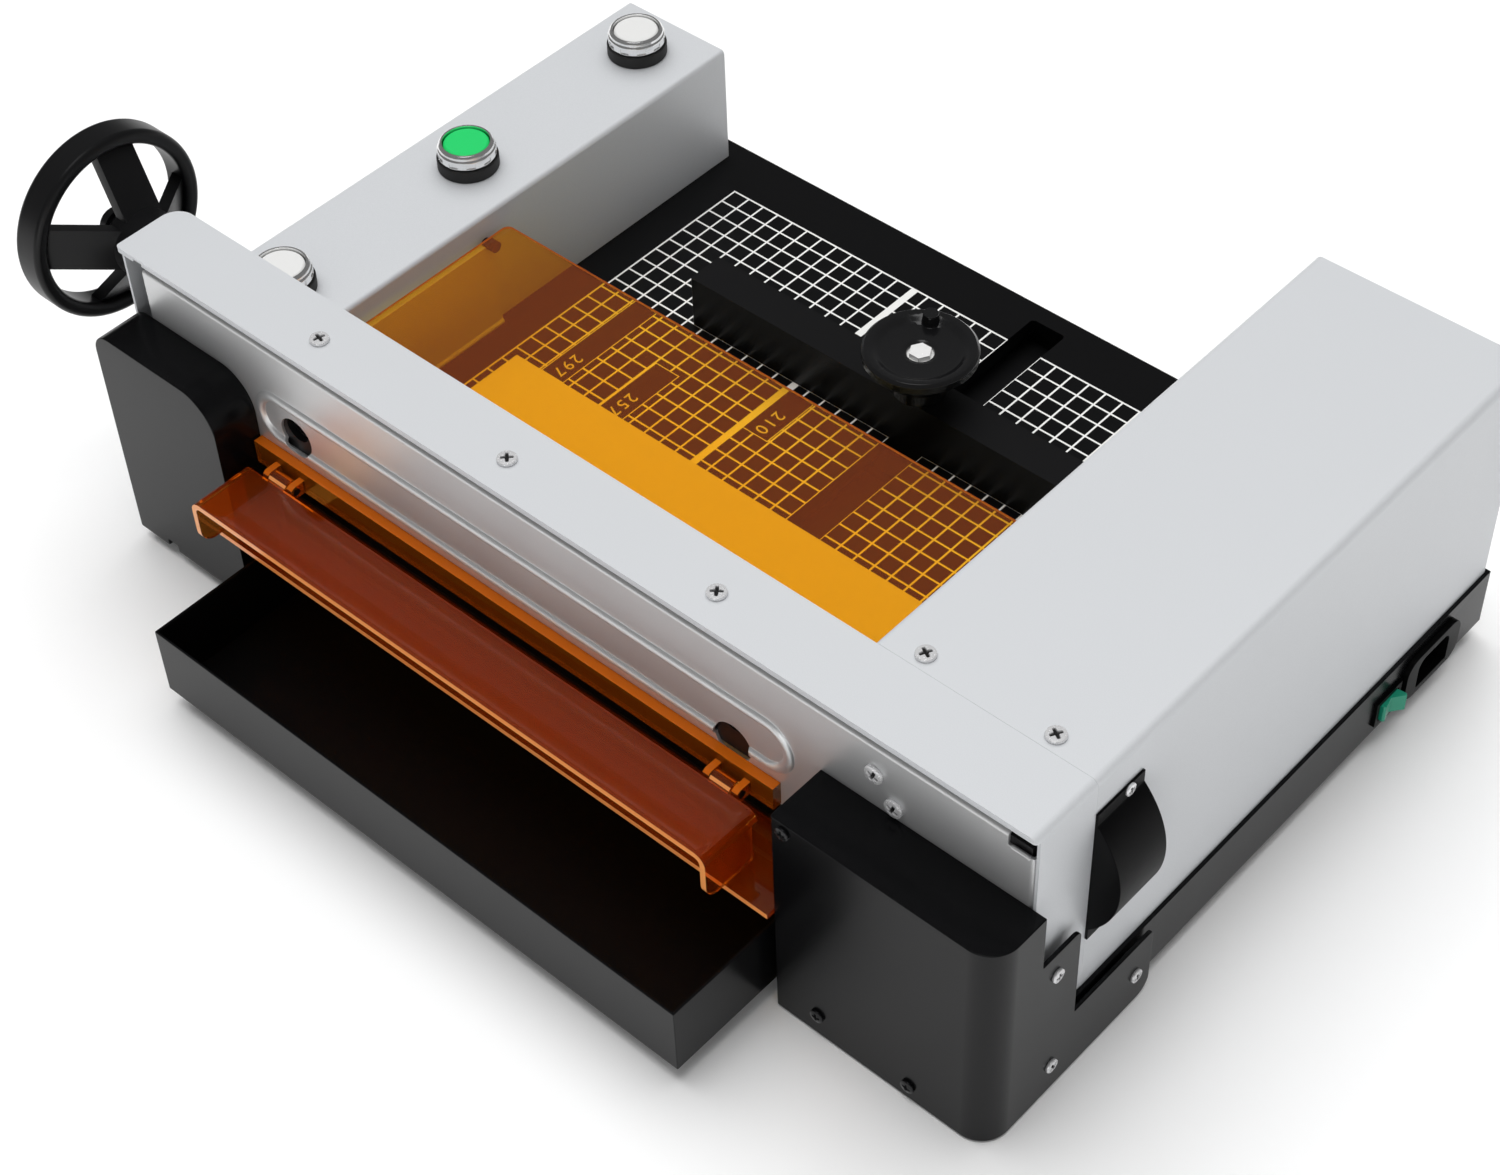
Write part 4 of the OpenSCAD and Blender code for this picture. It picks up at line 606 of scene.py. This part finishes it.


# Screws: steel pan heads with a recessed cross, bright on the silver covers and on the sides of
# the black ones. The cross is painted near black as painted shade, and heads that face the front
# of the end covers are painted near black all over, painted shade. Each stands on its seat in the
# construction, turned to where it was tightened.
def seats(node):
    """Seat, outward direction, radius and height of every head in a CAD node, ordered by seat."""
    shape = bmesh.new()
    shape.from_mesh(nodes[node].data)
    bmesh.ops.remove_doubles(shape, verts=shape.verts, dist=weld)
    left = set(shape.verts)
    found = []
    while left:
        front = [left.pop()]
        island = []
        while front:
            corner = front.pop()
            island.append(corner.co.copy())
            for line in corner.link_edges:
                other = line.other_vert(corner)
                if other in left:
                    left.remove(other)
                    front.append(other)
        low = Vector([min(spot[axis] for spot in island) for axis in range(3)])
        high = Vector([max(spot[axis] for spot in island) for axis in range(3)])
        size = high - low
        thin = min(range(3), key=lambda axis: size[axis])
        outward = Vector((0, 0, 0))
        outward[thin] = -1 if thin == 1 else 1
        found.append(((low + high) / 2 - outward * size[thin] / 2, outward, max(size) / 2, size[thin]))
    shape.free()
    return sorted(found, key=lambda head: tuple(head[0]))


def head_mesh(radius, height):
    """A pan head with a recessed cross as a surface over rings and spokes, its seat on the origin; a point
    attribute marks the cross for painted shade.
    """
    rings, spokes = 26, 72
    arm, wide, deep = 0.62 * radius, 0.15 * radius, 0.75 * height
    crown, brim, wall = 0.28, 0.5, 0.05 * radius
    flare, narrowing, rise = 1.4, 0.5, 0.35
    shape = bmesh.new()
    grid = []
    painted_shade_in_cross = []
    for ring in range(rings + 1):
        reach = radius * ring / rings
        row = []
        for spoke in range(spokes if ring else 1):
            angle = 2 * math.pi * spoke / spokes
            x, y = reach * math.cos(angle), reach * math.sin(angle)
            dome = height * (1 - crown * (reach / radius) ** 2)
            if ring == rings:
                dome = height * brim
            half_slot = wide * (flare - narrowing * reach / arm)
            inside = min(arm - max(abs(x), abs(y)), half_slot - min(abs(x), abs(y)))
            sunk = max(0.0, min(1.0, inside / wall + 0.5))
            row.append(shape.verts.new((x, y, dome - deep * sunk * (1 - rise * reach / arm))))
            painted_shade_in_cross.append(sunk)
        grid.append(row)
    skirt = [shape.verts.new((corner.co.x, corner.co.y, 0)) for corner in grid[rings]]
    for spoke in range(spokes):
        after = (spoke + 1) % spokes
        shape.faces.new((grid[0][0], grid[1][spoke], grid[1][after]))
        for inner, outer in zip(grid[1:], grid[2:]):
            shape.faces.new((inner[spoke], outer[spoke], outer[after], inner[after]))
        shape.faces.new((grid[rings][spoke], skirt[spoke], skirt[after], grid[rings][after]))
    shape.faces.new(list(reversed(skirt)))
    for face in shape.faces:
        face.smooth = len(face.verts) < 5
    mesh = bpy.data.meshes.new("screw_head")
    shape.to_mesh(mesh)
    shape.free()
    # This attribute marks the cross, which the screw finishes paint near black as painted shade in the
    # hollow.
    recess = mesh.attributes.new("recess", "FLOAT", "POINT")
    recess.data.foreach_set("value", painted_shade_in_cross + [0.0] * spokes)
    return mesh


def screw_tree():
    """Nodes that stand a head on every point, along its facing, with its own turn and size."""
    tree = bpy.data.node_groups.new("screw_heads", "GeometryNodeTree")
    for name, kind in (("Geometry", "NodeSocketGeometry"), ("Head", "NodeSocketObject"),
                       ("Finish", "NodeSocketMaterial"), ("Seed", "NodeSocketInt")):
        tree.interface.new_socket(name, in_out="INPUT", socket_type=kind)
    tree.interface.new_socket("Geometry", in_out="OUTPUT", socket_type="NodeSocketGeometry")
    given = Value.make(tree, "NodeGroupInput")
    head = Value.make(tree, "GeometryNodeObjectInfo", None, {"Object": given.output("Head")}, "Geometry")
    stored = "GeometryNodeInputNamedAttribute"
    facing = Value.make(tree, stored, {"data_type": "FLOAT_VECTOR"}, {"Name": "facing"})
    size = Value.make(tree, stored, {"data_type": "FLOAT"}, {"Name": "size"})
    spin = Value.make(tree, "FunctionNodeRandomValue", {"data_type": "FLOAT"},
                      {"Max": 2 * math.pi, "Seed": given.output("Seed")}, 1)
    spun = Value.make(tree, "ShaderNodeCombineXYZ", None, {"Z": spin})
    turned = Value.make(tree, "FunctionNodeAlignRotationToVector", {"axis": "Z"}, {"Vector": facing})
    placed = Value.make(tree, "FunctionNodeRotateRotation", {"rotation_space": "LOCAL"},
                        {0: turned, 1: Value.make(tree, "FunctionNodeEulerToRotation", None, {0: spun})})
    stood = Value.make(tree, "GeometryNodeInstanceOnPoints", None, {
        "Points": given.output("Geometry"), "Instance": head, "Rotation": placed, "Scale": size})
    whole = Value.make(tree, "GeometryNodeRealizeInstances", None, {0: stood})
    coat = {"Geometry": whole, "Material": given.output("Finish")}
    coated = Value.make(tree, "GeometryNodeSetMaterial", None, coat)
    Value.make(tree, "NodeGroupOutput", None, {0: coated})
    return tree


screw_heads = screw_tree()
bright_screw, tree, shader, place = new_finish("bright_screw", Metallic=0.45)
# Painted shade: the cross in the head is painted near black.
recess = Value.make(tree, "ShaderNodeAttribute", {"attribute_name": "recess"}, None, "Fac")
spread(tree, shader, Base_Color=recess.blend((0.78, 0.78, 0.79), (0.02, 0.02, 0.02)),
       Roughness=cloud(tree, place, 1, 0.2, 0.32))
end_screw, tree, shader, place = new_finish("end_cover_screw", Metallic=0.45)
# Painted shade: the cross in the head is painted near black here too.
recess = Value.make(tree, "ShaderNodeAttribute", {"attribute_name": "recess"}, None, "Fac")
# Painted shade: heads that face the front are painted near black all over, and the others stay bright steel.
faces = Value.make(tree, "ShaderNodeAttribute", {"attribute_name": "facing"}, None, "Vector")
front_facing_shade = Value.make(tree, "ShaderNodeSeparateXYZ", None, {0: faces}, "Y") < -0.5
spread(tree, shader, Base_Color=(recess | front_facing_shade).blend((0.7, 0.7, 0.71), (0.008, 0.008, 0.009)),
       Roughness=cloud(tree, place, 1, 0.2, 0.32))
for node, slot, finish, seed in (("cover_screws", "chrome", bright_screw, 4),
                                 ("end_cover_screws", "dark_steel", end_screw, 9)):
    spots = seats(node)
    widest = max(spot[2] for spot in spots)
    tallest = max(spot[3] for spot in spots)
    head = bpy.data.objects.new("screw_head", head_mesh(widest, tallest))
    bpy.context.scene.collection.objects.link(head)
    points = bpy.data.meshes.new(node + "_points")
    points.from_pydata([spot[0] for spot in spots], [], [])
    facing = points.attributes.new("facing", "FLOAT_VECTOR", "POINT")
    facing.data.foreach_set("vector", [part for spot in spots for part in spot[1]])
    size = points.attributes.new("size", "FLOAT", "POINT")
    size.data.foreach_set("value", [spot[2] / widest for spot in spots])
    piece = bpy.data.objects.new(node + "_piece", points)
    bpy.context.scene.collection.objects.link(piece)
    modifier = piece.modifiers.new("screw_heads", "NODES")
    modifier.node_group = screw_heads
    for item in screw_heads.interface.items_tree:
        chosen = {"Head": head, "Finish": finish, "Seed": seed}.get(item.name)
        if chosen is not None:
            modifier[item.identifier] = chosen
    bake(piece)
    bpy.data.objects.remove(head)
    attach(piece, "machine")
    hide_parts(node)
